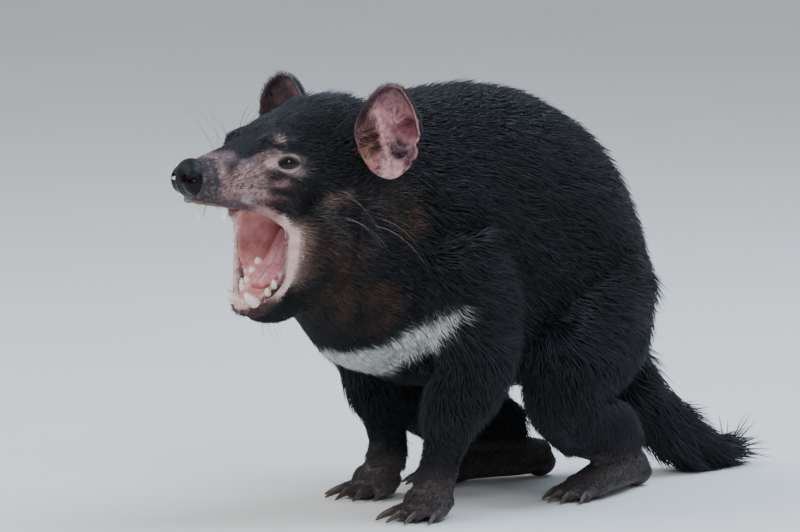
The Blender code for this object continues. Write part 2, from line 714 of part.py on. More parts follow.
clear_scene()
DRAFTS = collection_named("Drafts")
ANIMAL = collection_named("Tasmanian devil")
NODES = []
FUR = material("black coat", (0.012, 0.012, 0.014), 0.5)
BARE = material("bare skin", (0.30, 0.16, 0.15), 0.5)
FOOT = material("foot skin", (0.05, 0.04, 0.04), 0.6)
PAD = material("nose pad", (0.012, 0.011, 0.012), 0.25)
EYE = material("eye", (0.02, 0.011, 0.008), 0.05)
TONGUE = material("tongue", (0.50, 0.16, 0.17), 0.35)

# The whole animal is drawn once from overlapping forms, and the parts are cut from their fused skins.
trunk = midline_loft("trunk", TRUNK, sides=36)
head_forms = [
    midline_loft("skull", upright(SKULL), HEAD),
    midline_loft("jaw", JAW, HEAD),
    midline_loft("cheek", upright(CHEEK), HEAD, power=2.6),
]
for side in (-1, 1):
    head_forms.append(ball("masseter", (side * 0.0285, 0.098, 0.174), (0.0185, 0.032, 0.036), HEAD))
    head_forms.append(ball("brow", (side * 0.0180, 0.072, 0.2270), (0.0145, 0.024, 0.0105), HEAD))
forms = {
    "foreleg_left": limb("foreleg", FORELEG),
    "foreleg_right": limb("foreleg", RIGHT_FORELEG),
    "hindleg_left": limb("hindleg", HINDLEG),
    "hindleg_right": limb("hindleg", mirrored(HINDLEG, RIGHT_FOOT_FORWARD)),
    "hindfoot_left": limb("hindfoot", HINDFOOT),
    "hindfoot_right": limb("hindfoot", mirrored(HINDFOOT, RIGHT_FOOT_FORWARD)),
}
tail = limb("tail_form", [row[:4] for row in TAIL], sides=14)
body = fuse("body", [trunk, *head_forms, *forms.values(), tail], 0.003, 5, 4100)

# The four limbs leave the trunk first, above their paws, which are fused more finely from the same forms.
for side, word in ((1, "left"), (-1, "right")):
    for leg, outline, start, end, height in (
        ("foreleg_", FORELEG_CUT, -0.09, 0.064, WRIST_HEIGHT),
        ("hindleg_", HINDLEG_CUT, 0.066, 0.2085, ANKLE_HEIGHT),
    ):
        piece = part_off(body, leg + word, [(side * x, z) for x, z in outline], start, end)
        below = ((-0.2, -0.05), (0.2, -0.05), (0.2, height), (-0.2, height))
        combine(piece, prism("paw_cut", below, -0.2, 0.4), "DIFFERENCE")
        finish(piece, leg + word, FUR)

right_paw, right_fore_toes = (moved(rows, RIGHT_FOREPAW_AT) for rows in (FORE_PALM, FORE_TOES))
right_sole, right_hind_toes = (moved(rows, (0, -RIGHT_FOOT_FORWARD, 0)) for rows in (HIND_PALM, HIND_TOES))
for word, palm, toes, sole, hind_toes in (
    ("left", FORE_PALM, FORE_TOES, HIND_PALM, HIND_TOES),
    ("right", right_paw, right_fore_toes, right_sole, right_hind_toes),
):
    wrist = [forms["foreleg_" + word]]
    ankle = [forms["hindleg_" + word], forms["hindfoot_" + word]]
    for foot, height in (
        (paw("forepaw_" + word, wrist, palm, toes, FORE_CLAW, FOREPAW_TRIANGLES), WRIST_HEIGHT),
        (paw("hindfoot_" + word, ankle, sole, hind_toes, HIND_CLAW, HINDFOOT_TRIANGLES), ANKLE_HEIGHT),
    ):
        above = ((-0.2, height - GAP), (0.2, height - GAP), (0.2, 0.3), (-0.2, 0.3))
        combine(foot, prism("limb_cut", above, -0.2, 0.4), "DIFFERENCE")
        finish(foot, foot.name, FOOT)

tail_piece = part_off(body, "tail", TAIL_CUT, -0.05, 0.05, along="X")
largest_shell(tail_piece)
join_into(tail_piece, tail_locks())
combine(tail_piece, prism("tail_floor", BELOW_FLOOR, -0.3, 0.4), "DIFFERENCE")
finish(tail_piece, "tail", FUR)

# Neck and head: cut square to the neck, the head being fused again more finely from the same forms.
neck = part_off(body, "neck", NECK_CUT, -0.2, 0.2, along="X")
combine(neck, prism("head_cut", HEAD_CUT, -0.2, 0.2, GAP / 2, "X", HEAD), "DIFFERENCE")
finish(neck, "neck", FUR)
combine(body, prism("head_cut", HEAD_CUT, -0.2, 0.2, GAP / 2, "X", HEAD), "DIFFERENCE")
finish(body, "torso", FUR)

eye_forms = []
for side in (-1, 1):
    at = Vector((side * EYE_AT.x, EYE_AT.y, EYE_AT.z))
    eye_forms.append(ball("lids", at, (EYE_RADIUS + 0.0019,) * 3, HEAD))
front = copy_of(trunk, "front")
combine(front, prism("front_cut", ((-0.2, -0.05), (0.2, -0.05), (0.2, 0.3), (-0.2, 0.3)), -0.1, 0.03), "INTERSECT")
solid_head = fuse("solid_head", [front, *head_forms, *eye_forms], 0.0020, 3, 14000)

# Mouth: one cavity back to the throat, a palate hollowed between the upper lips and a floor between the lower.
cavity = cavity_loft("mouth_cavity", MOUTH)
palate = cavity_loft("palate", PALATE)
floor_hollow = cavity_loft("mouth_floor", MOUTH_FLOOR)
for cutter in (cavity, palate, floor_hollow):
    combine(solid_head, cutter, "DIFFERENCE")
    largest_shell(solid_head)

# Lips are soft rolls round the opening, and the gums low ridges that carry the teeth.
rolls = []
for side in (-1, 1):
    for name, line in (("lip", UPPER_LIP), ("lip", MOUTH_CORNER), ("gum", UPPER_GUM), ("gum", LOWER_GUM)):
        rolls.append(limb(name, [(side * row[0], *row[1:], row[-1]) for row in line], sides=10))
        rolls[-1].data.transform(HEAD)
head = fuse("head", [solid_head, *rolls], 0.0015, 3, 3000)
combine(head, prism("head_keep", HEAD_CUT, -0.2, 0.2, -GAP / 2, "X", HEAD), "INTERSECT")

for side, word in ((1, "left"), (-1, "right")):
    at = Vector((side * EYE_AT.x, EYE_AT.y, EYE_AT.z))
    eye = ball("eye_" + word, at, (EYE_RADIUS,) * 3, HEAD, 16)
    socket = ball("socket", at, (EYE_RADIUS + GAP / 0.9,) * 3, HEAD, 16)
    combine(head, socket, "DIFFERENCE")
    look = Vector((side * EYE_LOOK.x, EYE_LOOK.y, EYE_LOOK.z)).normalized()
    turn = look.to_track_quat("Y", "Z").to_matrix().to_4x4()
    slit = ball("slit", (0, 0, 0), EYE_SLIT, HEAD @ Matrix.Translation(at + look * 0.0075) @ turn, 16)
    combine(head, slit, "DIFFERENCE")
    finish(eye, "eye_" + word, EYE)

ears = [(ear("ear", side), word) for side, word in ((1, "left"), (-1, "right"))]
head_grown = grown(head)
for piece, word in ears:
    combine(piece, head_grown, "DIFFERENCE")
    finish(piece, "ear_" + word, BARE)

# Nose: a pad with two hooked nostrils, in front of a cut across the muzzle
nose = fuse("nose", [ball("pad", c, s, HEAD, 24) for c, s in NOSE_PAD], 0.0008, 3, 420)
for side in (-1, 1):
    for centre, sizes in NOSTRIL:
        combine(nose, ball("nostril", (side * centre[0], *centre[1:]), sizes, HEAD, 10), "DIFFERENCE")
combine(nose, prism("nose_cut", NOSE_BACK, -0.1, 0.1, 0, "X", HEAD), "DIFFERENCE")
combine(head, prism("muzzle_cut", MUZZLE_FRONT, -0.1, 0.1, 0, "X", HEAD), "DIFFERENCE")
finish(nose, "nose", PAD)

lower_jaw = part_off(head, "lower_jaw", JAW_CUT, -0.1, 0.1, along="X", frame=HEAD)
largest_shell(head)
largest_shell(lower_jaw)
tongue = limb("tongue", TONGUE_LINE, sides=12, steps=2)
tongue.data.transform(HEAD)
combine(tongue, grown(head), "DIFFERENCE")
combine(tongue, grown(lower_jaw), "DIFFERENCE")
finish(tongue, "tongue", TONGUE)

dice = random.Random(7)
for solid, rows in ((head, UPPER_TEETH), (lower_jaw, LOWER_TEETH)):
    pieces = []
    for root, tip, width, depth in rows:
        for side in (-1, 1):
            wobble = [dice.uniform(-0.0002, 0.0002) for _ in range(3)]
            start = Vector((side * root[0], *root[1:]))
            end = Vector((side * tip[0], *tip[1:])) + Vector(wobble)
            pieces.append(tooth(start, end, width, depth, HEAD))
    join_into(solid, pieces)
finish(head, "head", FUR)
finish(lower_jaw, "lower_jaw", FUR)

for obj in list(DRAFTS.objects):
    bpy.data.objects.remove(obj)
bpy.data.collections.remove(DRAFTS)

# The middle of the whole animal's box goes to the origin, with the soles on the floor.
corners = np.array([corner for obj in NODES for corner in obj.bound_box])
SHIFT = Vector((*(-(corners.min(0) + corners.max(0)) / 2)[:2], 0.0))
for obj in NODES:
    obj.data.transform(Matrix.Translation(SHIFT))
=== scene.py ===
"""The looks of a life-size Tasmanian devil, on a pale floor in soft light.

One skin covers the whole body. Its coat is made of solid tufts, and the ears, eyes, nose, teeth, tongue,
claws and whiskers are pieces of their own.

Metres, in the part's own frame: it faces -Y, its left side is +X and it stands on Z = 0. The tables of places
and sizes are in millimetres, and mm turns them into metres.
"""

import json
import math

import bmesh
import bpy
import numpy as np
from mathutils import Matrix, Vector
from mathutils.bvhtree import BVHTree

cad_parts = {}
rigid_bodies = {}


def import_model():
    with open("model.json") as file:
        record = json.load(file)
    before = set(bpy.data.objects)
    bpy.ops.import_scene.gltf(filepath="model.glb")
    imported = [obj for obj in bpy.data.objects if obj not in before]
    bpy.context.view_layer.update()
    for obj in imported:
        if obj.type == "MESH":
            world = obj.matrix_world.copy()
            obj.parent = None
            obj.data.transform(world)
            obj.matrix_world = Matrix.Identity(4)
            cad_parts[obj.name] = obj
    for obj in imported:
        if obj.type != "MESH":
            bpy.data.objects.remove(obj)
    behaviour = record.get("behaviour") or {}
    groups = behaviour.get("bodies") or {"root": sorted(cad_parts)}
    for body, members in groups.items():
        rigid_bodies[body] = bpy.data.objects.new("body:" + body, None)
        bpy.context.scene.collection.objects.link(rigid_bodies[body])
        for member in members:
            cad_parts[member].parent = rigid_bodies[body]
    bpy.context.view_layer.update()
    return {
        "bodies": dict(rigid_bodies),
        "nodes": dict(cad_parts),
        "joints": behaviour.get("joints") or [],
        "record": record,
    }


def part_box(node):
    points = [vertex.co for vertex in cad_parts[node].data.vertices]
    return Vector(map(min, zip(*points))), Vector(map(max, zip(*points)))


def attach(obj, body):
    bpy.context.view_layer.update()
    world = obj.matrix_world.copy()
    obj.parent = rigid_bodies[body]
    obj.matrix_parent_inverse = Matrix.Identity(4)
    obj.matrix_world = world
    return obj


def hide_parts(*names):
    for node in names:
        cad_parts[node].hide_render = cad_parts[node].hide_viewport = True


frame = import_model()


def mm(*rows):
    """Rows given in millimetres, as tuples in metres; rows may hold rows, and words stay as they are."""

    def metres(value):
        if isinstance(value, tuple):
            return mm(*value)
        return value if isinstance(value, str) else round(value / 1000, 7)

    return tuple(metres(row) for row in rows)


# The part's own driving sizes. The head is drawn 155 mm long in its own frame: X to its left, Y back from the
# tip of the nose, Z above the floor.
EYE_AT = Vector((0.0272, 0.0645, 0.2165))
EYE_RADIUS = 0.0066
EYE_LOOK = Vector((0.8, -0.58, 0.08)).normalized()
EYE_BIGGER = 1.15
EYE_DEEPER = 0.0011
LID_THICKNESS = 0.0019
BETWEEN_EARS = Vector((0.0, 0.13, 0.187))
DRAWN_HEAD = (
    Matrix.Translation((-0.024, -0.15, 0.0))
    @ Matrix.Rotation(math.radians(-10), 4, "Z")
    @ Matrix.Translation(BETWEEN_EARS)
    @ Matrix.Scale(0.1495 / 0.155, 4)
    @ Matrix.Translation(-BETWEEN_EARS)
)
EYE_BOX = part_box("eye_left")
SHIFT = (Vector(EYE_BOX[0]) + Vector(EYE_BOX[1])) / 2 - DRAWN_HEAD @ EYE_AT
BODY = Matrix.Translation(SHIFT)
HEAD = BODY @ DRAWN_HEAD

# Trunk and neck: a dorsal and a ventral point on the midline (y, z, y, z) and the half-width between them
TRUNK = mm(
    (-45, 244, -62, 125, 44), (-15, 246, -45, 108, 51), (20, 250, -24, 88, 60), (50, 253, 15, 75, 67),
    (80, 253, 62, 68, 71), (114, 246, 98, 66, 73), (147, 226, 122, 68, 72), (174, 191, 140, 66, 67),
    (192, 150, 158, 64, 57), (198, 110, 178, 68, 36),
)
# Upper head and cheeks: distance from the nose, top, bottom, half-width
SKULL = mm(
    (7, 215, 197, 9), (14, 218.5, 194.5, 14.5), (26, 222.8, 192.5, 18.5), (40, 227, 189, 22),
    (54, 233.5, 184, 27), (66, 242, 176, 34), (82, 247.5, 160, 42), (100, 250, 146, 47),
    (120, 250.5, 136, 48), (140, 249, 130, 47), (155, 246, 126, 46),
)
CHEEK = mm((62.5, 194, 136, 29.5), (73, 194, 130, 34), (88, 196, 126, 40), (108, 196, 126, 45))
JAW = mm(
    (45.5, 131, 50, 122.5, 8), (52, 137, 60, 118, 14.5), (62, 147, 72, 117.5, 22), (75, 163, 88, 123, 30),
    (90, 190, 108, 129, 38), (110, 200, 132, 133, 45),
)
# Hollows of the mouth: centre (y, z), half-height vector, half-width
MOUTH = mm(
    (-10, 135.5, 4, 59.5, 36), (22, 149.5, 4, 44.5, 34), (48, 159.2, 2, 32, 28), (65, 166.7, -1, 24.5, 25),
    (79, 172, -3, 17, 20), (92, 176, -3, 9, 12),
)
PALATE = mm(
    (14, 193.8, 0, 4, 7), (24, 193.6, 0, 5, 11), (45, 191.8, 0, 6, 15), (64, 190.5, 0, 8, 18),
    (82, 188, 0, 8, 15),
)
MOUTH_FLOOR = mm((50, 139, -3.5, 3.5, 5), (57, 144, -5, 5, 9.5), (66, 150, -6, 6, 14), (78, 158, -6, 6, 16))
# Limbs: centre (x, y, z) and half sizes sideways and fore-and-aft, for the left side
FORELEG = mm(
    (42, 12, 165, 26, 36), (52, 20, 128, 27, 38), (57, 21, 94, 22, 30), (54, 9, 68, 18.5, 21.5),
    (50, 6, 48, 13.5, 15), (46, 4, 33, 11.8, 12.8), (44, 0, 18, 13, 12.5),
)
RIGHT_FORELEG = mm(
    (-38, 10, 160, 26, 36), (-46, 18, 126, 25, 35), (-51, 38, 94, 21, 26), (-49, 42, 70, 17.5, 19.5),
    (-45, 47, 50, 13.5, 14.5), (-42, 48, 34, 11.8, 12.8), (-40, 44, 18, 13, 12.5),
)
HINDLEG = mm(
    (38, 143, 142, 36, 44), (49, 124, 106, 32, 50), (59, 98, 76, 24, 32), (58, 108, 56, 20, 26),
    (50, 142, 42, 16.5, 22.5), (40, 172, 28, 12.5, 15.5),
)
HINDFOOT = mm(
    (34, 190, 12.5, 9.5, 10.5), (40, 170, 13.5, 12, 12.5), (48, 146, 11.5, 14, 10.5), (53, 128, 9, 14, 8.5),
)
RIGHT_FOOT_FORWARD = 0.01
RIGHT_FOOT_AT = Vector((0, -RIGHT_FOOT_FORWARD, 0))
RIGHT_FOREPAW_AT = Vector((0, 0.044, 0))
# Tail: centre line, radius of the core, and radius out to the tips of its coat
TAIL = mm(
    (0, 160, 98, 26, 26.5), (1, 192, 80, 19.5, 22.5), (5, 214, 56, 12.5, 19), (11, 237, 33, 9.5, 16.5),
    (17, 261, 14.5, 8, 14.5), (19, 278, 9.6, 6.5, 13.5), (19, 290, 8.6, 3.5, 11),
)
FORE_PALM = mm(((44, -3, 10.5), (15.5, 15, 11.2)))
HIND_PALM = mm(((53, 126, 8), (15, 15, 8.5)), ((36, 186, 8.5), (10, 12, 9)))
# Toes: root, tip, thickness
FORE_TOES = mm(
    ((32.5, -4, 6), (29, -13, 5), 4.6), ((38, -11, 7), (35.5, -21.5, 5.2), 5),
    ((44, -12, 7), (44, -24, 5.2), 5.2), ((50, -11, 7), (52.5, -21.5, 5.2), 5),
    ((55.5, -4, 6), (60, -13, 5), 4.6),
)
HIND_TOES = mm(
    ((44, 118, 6.5), (43, 108, 5), 4.7), ((50, 115, 6.8), (50.5, 104, 5), 4.9),
    ((56, 115, 6.8), (58.5, 104, 5), 4.9), ((62, 119, 6.5), (66, 110, 5), 4.7),
)
FORE_CLAW = 0.011
HIND_CLAW = 0.008
CLAW_TIP_HEIGHT = 0.0008

# Lip and gum lines, left half, in the head's frame: x, y, z and the roll's radius
UPPER_LIP = mm(
    (0, 12, 195.5, 2.2), (9, 15, 194.5, 2.5), (14.5, 25, 193.2, 2.6), (18.6, 40, 190.8, 2.8),
    (22.5, 52, 187.6, 3.2), (26.8, 60, 182.5, 3.4),
)
MOUTH_CORNER = mm(
    (26.8, 60, 182.5, 3.4), (30.8, 65, 174, 2.4), (30.6, 65, 158, 2.4), (28.6, 63, 145, 2.4),
    (21.5, 58, 134, 2.4), (12, 51.5, 127, 2.3), (0, 48, 125.5, 2.2),
)
UPPER_GUM = mm(
    (0, 16.5, 196.5, 2.2), (8, 19.5, 196.3, 2.4), (12.2, 26, 196, 2.7), (14.5, 40, 193.8, 2.7),
    (17.5, 56, 191.2, 2.7), (19, 66, 189, 2.2),
)
LOWER_GUM = mm(
    (0, 50, 129, 2.2), (6, 50.5, 129.5, 2.4), (10.5, 54, 131, 2.8), (14, 62, 138.5, 2.8),
    (16.8, 72, 148.5, 2.8), (18.5, 79, 156, 2.2),
)
TONGUE_LINE = mm(
    (0, 59, 139.5, 7, 3), (0, 66, 144.5, 10.5, 5), (0, 74, 150.5, 12.5, 6.8), (0, 82.5, 160, 13.8, 9.5),
    (0, 88.5, 170, 12.8, 9.2),
)
# Teeth, left half: root under the gum, tip, width, depth and form
UPPER_TEETH = mm(
    ((2, 16.5, 198), (2, 16, 191.7), 3, 2.6, "incisor"),
    ((5.2, 17.5, 198), (5.4, 17.2, 191.5), 3, 2.6, "incisor"),
    ((8.2, 19.5, 198), (8.6, 19.2, 191.5), 3, 2.6, "incisor"),
    ((10.8, 27.5, 196.5), (13.6, 25.8, 181.2), 7.8, 6.6, "canine"),
    ((13.2, 33.5, 197), (13.4, 33.5, 190.2), 4.4, 4.2, "molar"),
    ((14.6, 40.5, 195.5), (14.8, 40.5, 188.5), 5, 4.6, "molar"),
    ((16.2, 48.5, 194), (16.4, 48.5, 187.2), 6.2, 5.8, "molar"),
    ((18, 57, 192), (18.2, 57, 185.5), 6.6, 6.6, "molar"),
)
LOWER_TEETH = mm(
    ((2.2, 50, 128), (2.2, 46.8, 133), 2.8, 2.6, "incisor"),
    ((5.2, 50.5, 128.5), (5.3, 47.2, 133.5), 2.8, 2.6, "incisor"),
    ((10, 56, 127.5), (11.6, 42.2, 136.8), 7.8, 7, "canine"),
    ((13.2, 60, 134.5), (13.7, 56.6, 140.2), 4, 3.8, "molar"),
    ((14.5, 64, 139), (14.9, 60.2, 145), 4.3, 4.2, "molar"),
    ((16, 69.5, 144), (16.4, 65.4, 150), 4.9, 4.8, "molar"),
    ((17.5, 75, 149.5), (18, 70.9, 155.4), 5.5, 5.3, "molar"),
)
NOSE_PAD = mm(
    ((0, 11.8, 208.5), (11.5, 10, 12.2)), ((6.2, 9.8, 207.5), (6.6, 7.6, 9)),
    ((-6.2, 9.8, 207.5), (6.6, 7.6, 9)),
)
NOSTRIL = mm(((6, 2.3, 209), (2.6, 6, 2.4)), ((10.3, 6.2, 207.9), (3.6, 3.3, 1.7)))
EAR_ROOT = Vector((0.0525, 0.1205, 0.2065))
EAR_TIP = Vector((0.058, 0.119, 0.263))
EAR_HALF_WIDTH = 0.02
EAR_CUP = 0.012
EAR_TURN_OUT = {1: math.radians(28), -1: math.radians(-10)}
EAR_TWIST = math.radians(34)

FLESH = ["torso", "neck", "head", "lower_jaw", "tail"]
for part in ("foreleg_", "forepaw_", "hindleg_", "hindfoot_"):
    FLESH += [part + "left", part + "right"]
HEAD_BALLS = mm(("masseter", (28.5, 98, 174), (18.5, 32, 36)), ("brow", (18, 72, 227), (14.5, 24, 10.5)))
HOLLOWS = (("cavity", MOUTH), ("palate", PALATE), ("floor", MOUTH_FLOOR))


# Making of forms


def active(obj):
    """Leaves one object selected and active."""
    bpy.ops.object.select_all(action="DESELECT")
    obj.select_set(True)
    bpy.context.view_layer.objects.active = obj
    return obj


def placed(name, data):
    """A new object of the scene with this data."""
    made = bpy.data.objects.new(name, data)
    bpy.context.scene.collection.objects.link(made)
    return made


def add_mesh(name, vertices, faces):
    mesh = bpy.data.meshes.new(name)
    mesh.from_pydata([tuple(v) for v in vertices], [], faces)
    mesh.validate()
    return placed(name, mesh)


def primitive(operator, name, **sizes):
    """Adds one of Blender's own primitives, alone selected."""
    bpy.ops.object.select_all(action="DESELECT")
    operator(**sizes)
    made = bpy.context.object
    made.name = name
    return made


def outward(obj):
    """Merges doubles and points all faces out."""
    active(obj)
    bpy.ops.object.mode_set(mode="EDIT")
    bpy.ops.mesh.select_all(action="SELECT")
    bpy.ops.mesh.remove_doubles(threshold=1e-6)
    bpy.ops.mesh.normals_make_consistent(inside=False)
    bpy.ops.object.mode_set(mode="OBJECT")
    return obj


def modify(obj, kind, **values):
    """Adds one modifier, sets it and applies it."""
    active(obj)
    modifier = obj.modifiers.new(kind, kind)
    for key, value in values.items():
        setattr(modifier, key, value)
    bpy.ops.object.modifier_apply(modifier=modifier.name)
    return obj


def join(name, pieces):
    bpy.ops.object.select_all(action="DESELECT")
    for piece in pieces:
        piece.select_set(True)
    bpy.context.view_layer.objects.active = pieces[0]
    bpy.ops.object.join()
    made = bpy.context.object
    made.name = name
    return made


def copy_of(obj, name, matrix=Matrix()):
    made = placed(name, obj.data.copy())
    made.data.transform(matrix)
    return made


def fuse(obj, voxel, iterations):
    """Makes one closed surface of overlapping forms, and smooths it."""
    modify(obj, "REMESH", mode="VOXEL", voxel_size=voxel)
    modify(obj, "SMOOTH", factor=0.5, iterations=iterations)


def combine(obj, other, operation):
    """Applies a Boolean with a closed cutter, which is then removed."""
    modify(obj, "BOOLEAN", operation=operation, solver="EXACT", object=other)
    bpy.data.objects.remove(other)


def curve_through(stations, steps=4):
    """Catmull-Rom values through the stations, with this many rings to each span."""
    rows = np.array(stations, float)
    rows = np.vstack([2 * rows[0] - rows[1], rows, 2 * rows[-1] - rows[-2]])
    found = []
    for i in range(1, len(rows) - 2):
        a, b, c, d = rows[i - 1 : i + 3]
        for t in np.arange(steps) / steps:
            curve = 2 * b + (c - a) * t + (2 * a - 5 * b + 4 * c - d) * t**2 + (3 * b - a - 3 * c + d) * t**3
            found.append(0.5 * curve)
    found.append(rows[-2])
    return np.array(found)


def loft(name, rings, frame, sides=32, power=2.2):
    """A closed solid through rings of (centre, sideways half-vector, upward half-vector)."""
    angles = np.arange(sides) * 2 * math.pi / sides
    circle = (np.cos(angles), np.sin(angles))
    across, upward = (np.sign(way) * np.abs(way) ** (2 / power) for way in circle)
    points = [centre + side * a + up * b for centre, side, up in rings for a, b in zip(across, upward)]
    faces = [tuple(range(sides)), tuple(range(len(points) - sides, len(points)))]
    for ring in range(len(rings) - 1):
        for k in range(sides):
            first, second = ring * sides + k, ring * sides + (k + 1) % sides
            faces.append((first, second, second + sides, first + sides))
    made = add_mesh(name, points, faces)
    made.data.transform(frame)
    return outward(made)


def midline_loft(name, stations, frame, **options):
    rings = []
    for y_top, z_top, y_low, z_low, half in curve_through(stations):
        top, low = Vector((0, y_top, z_top)), Vector((0, y_low, z_low))
        rings.append(((top + low) / 2, Vector((half, 0, 0)), (top - low) / 2))
    return loft(name, rings, frame, **options)


def cavity_loft(name, stations):
    rings = [
        (Vector((0, y, z)), Vector((half, 0, 0)), Vector((0, up_y, up_z)))
        for y, z, up_y, up_z, half in curve_through(stations)
    ]
    return loft(name, rings, HEAD, sides=24, power=2.5)


def upright(stations):
    return [(y, top, y, bottom, half) for y, top, bottom, half in stations]


def limb(name, stations, frame, sides=24, power=2.0, steps=5):
    """A loft along a bent line of (x, y, z, half size sideways, other half size)."""
    rows = curve_through(stations, steps)
    line = [Vector(row[:3]) for row in rows]
    rings = []
    for k, row in enumerate(rows):
        along = (line[min(k + 1, len(line) - 1)] - line[max(k - 1, 0)]).normalized()
        side = (Vector((1, 0, 0)) - along * along.x).normalized()
        rings.append((line[k], side * row[3], side.cross(along) * row[-1]))
    return loft(name, rings, frame, sides=sides, power=power)


def ball(name, centre, half_sizes, frame, segments=24):
    """A sphere, drawn to its half sizes at its place."""
    sphere = bpy.ops.mesh.primitive_uv_sphere_add
    made = primitive(sphere, name, segments=segments, ring_count=segments // 2, radius=1)
    made.data.transform(frame @ Matrix.Translation(centre) @ Matrix.Diagonal((*half_sizes, 1)))
    return made


def read(values, name, count, kind=np.float32):
    """One value, or a row of values, of every element of a mesh or of its attribute."""
    found = np.empty(len(values) * count, kind)
    values.foreach_get(name, found)
    return found.reshape(-1, count) if count > 1 else found


def points_of(obj):
    return read(obj.data.vertices, "co", 3, float)


def normals_of(obj):
    return read(obj.data.vertices, "normal", 3).astype(float)


def set_points(obj, points):
    obj.data.vertices.foreach_set("co", points.astype(np.float32).ravel())
    obj.data.update()


def into(matrix, points):
    """Points as seen from a frame."""
    inverse = np.array(matrix.inverted())
    return points @ inverse[:3, :3].T + inverse[:3, 3]


def out_of(matrix, points):
    given = np.array(matrix)
    return points @ given[:3, :3].T + given[:3, 3]


def store(obj, name, values, kind="FLOAT"):
    """Keeps a value, or a colour, on every vertex."""
    attribute = obj.data.attributes.new(name, kind, "POINT")
    values = np.asarray(values, np.float32)
    if kind == "FLOAT_COLOR":
        values = np.hstack([values, np.ones((len(values), 1), np.float32)])
        attribute.data.foreach_set("color", values.ravel())
    else:
        attribute.data.foreach_set("value", values)


def eased(low, high, value):
    """0 below low, 1 above high, and smooth between them."""
    share = np.clip((value - low) / (high - low), 0, 1)
    return share * share * (3 - 2 * share)


def faded(low, high, value):
    """1 below low, 0 above high, and smooth between them."""
    return 1 - eased(low, high, value)


def bell(*pairs):
    """1 where every value is 0, falling off over its width."""
    return np.exp(-sum((value / width) ** 2 for value, width in pairs))


def blend(tone, share, colour):
    """Colours, with a share of another colour over them at each place."""
    share = share[:, None]
    return tone * (1 - share) + np.array(colour) * share


def unit(ways):
    return ways / np.linalg.norm(ways, axis=1)[:, None]


def sided(side, point):
    """A place of the left side, or its mirror where side is -1."""
    return (side * point[0], *point[1:])


def around(points, centre, reach):
    """1 near a centre, falling to 0 at its reach, which may differ along each axis."""
    return faded(0.45, 1.0, np.linalg.norm((points - np.array(centre)) / np.array(reach), axis=1))


def waves(points, scale, seed):
    """Smooth, seeded unevenness between about -1 and 1, with lumps about this size."""
    dice = np.random.default_rng(seed)
    total = np.zeros(len(points))
    for _ in range(7):
        way = dice.normal(size=3)
        way /= np.linalg.norm(way)
        total += np.sin(points @ way * 2 * math.pi / (scale * dice.uniform(1.3, 2.6)) + dice.uniform(0, 6.28))
    return total / 2.2


def distance_to_line(points, line):
    """Distance to a polyline, and how far along it the nearest place is, from 0 to 1."""
    line = np.array(line)
    best = np.full(len(points), 1e9)
    place = np.zeros(len(points))
    for k in range(len(line) - 1):
        step = line[k + 1] - line[k]
        share = np.clip((points - line[k]) @ step / (step @ step), 0, 1)
        away = np.linalg.norm(points - (line[k] + share[:, None] * step), axis=1)
        nearer = away < best
        best[nearer] = away[nearer]
        place[nearer] = (k + share[nearer]) / (len(line) - 1)
    return best, place


# The skin: overlapping forms fused into one, with the mouth hollowed out of the head
HEAD_VOXEL = 0.002
SKIN_VOXEL = 0.0014
SKIN_TRIANGLES = 185000


def head_forms():
    made = [
        midline_loft("skull", upright(SKULL), HEAD),
        midline_loft("jaw", JAW, HEAD),
        midline_loft("cheek", upright(CHEEK), HEAD, power=2.6),
    ]
    for side in (-1, 1):
        for name, centre, sizes in HEAD_BALLS:
            made.append(ball(name, sided(side, centre), sizes, HEAD))
        made.append(ball("lids", sided(side, EYE_AT), (EYE_RADIUS + LID_THICKNESS,) * 3, HEAD))
    return made


def half_space(name, low, high):
    """A box cutter between two corners."""
    low, high = Vector(low), Vector(high)
    made = primitive(bpy.ops.mesh.primitive_cube_add, name, size=1)
    made.data.transform(Matrix.Translation((low + high) / 2) @ Matrix.Diagonal((*(high - low), 1)))
    made.data.transform(BODY)
    return made


def paw_forms(side, palm, toes, shift):
    """Palm and toes of one paw, mirrored to the right where side is -1."""
    made = []
    mirror = Matrix.Diagonal((side, 1, 1, 1))
    for centre, sizes in palm:
        made.append(ball("palm", mirror @ Vector(centre) + shift, sizes, BODY))
    for root, tip, thick in toes:
        for t in (0.0, 0.33, 0.67, 1.0):
            size = thick * (1.0 - 0.12 * t)
            at = mirror @ Vector(root).lerp(Vector(tip), t) + shift
            made.append(ball("toe", at, (size, size * 1.3, size), BODY, 16))
    return made


def mirrored(stations, forward=0.0):
    return [(-row[0], row[1] - forward, *row[2:]) for row in stations]


def shell_kept(obj):
    """Keeps only the largest closed surface."""
    bm = bmesh.new()
    bm.from_mesh(obj.data)
    bm.faces.ensure_lookup_table()
    seen = set()
    shells = []
    for start in bm.faces:
        if start.index in seen:
            continue
        seen.add(start.index)
        stack, shell = [start], []
        while stack:
            face = stack.pop()
            shell.append(face)
            for other in (other for edge in face.edges for other in edge.link_faces):
                if other.index not in seen:
                    seen.add(other.index)
                    stack.append(other)
        shells.append(shell)
    shells.sort(key=len)
    bmesh.ops.delete(bm, geom=[face for shell in shells[:-1] for face in shell], context="FACES")
    bm.to_mesh(obj.data)
    bm.free()
    return obj


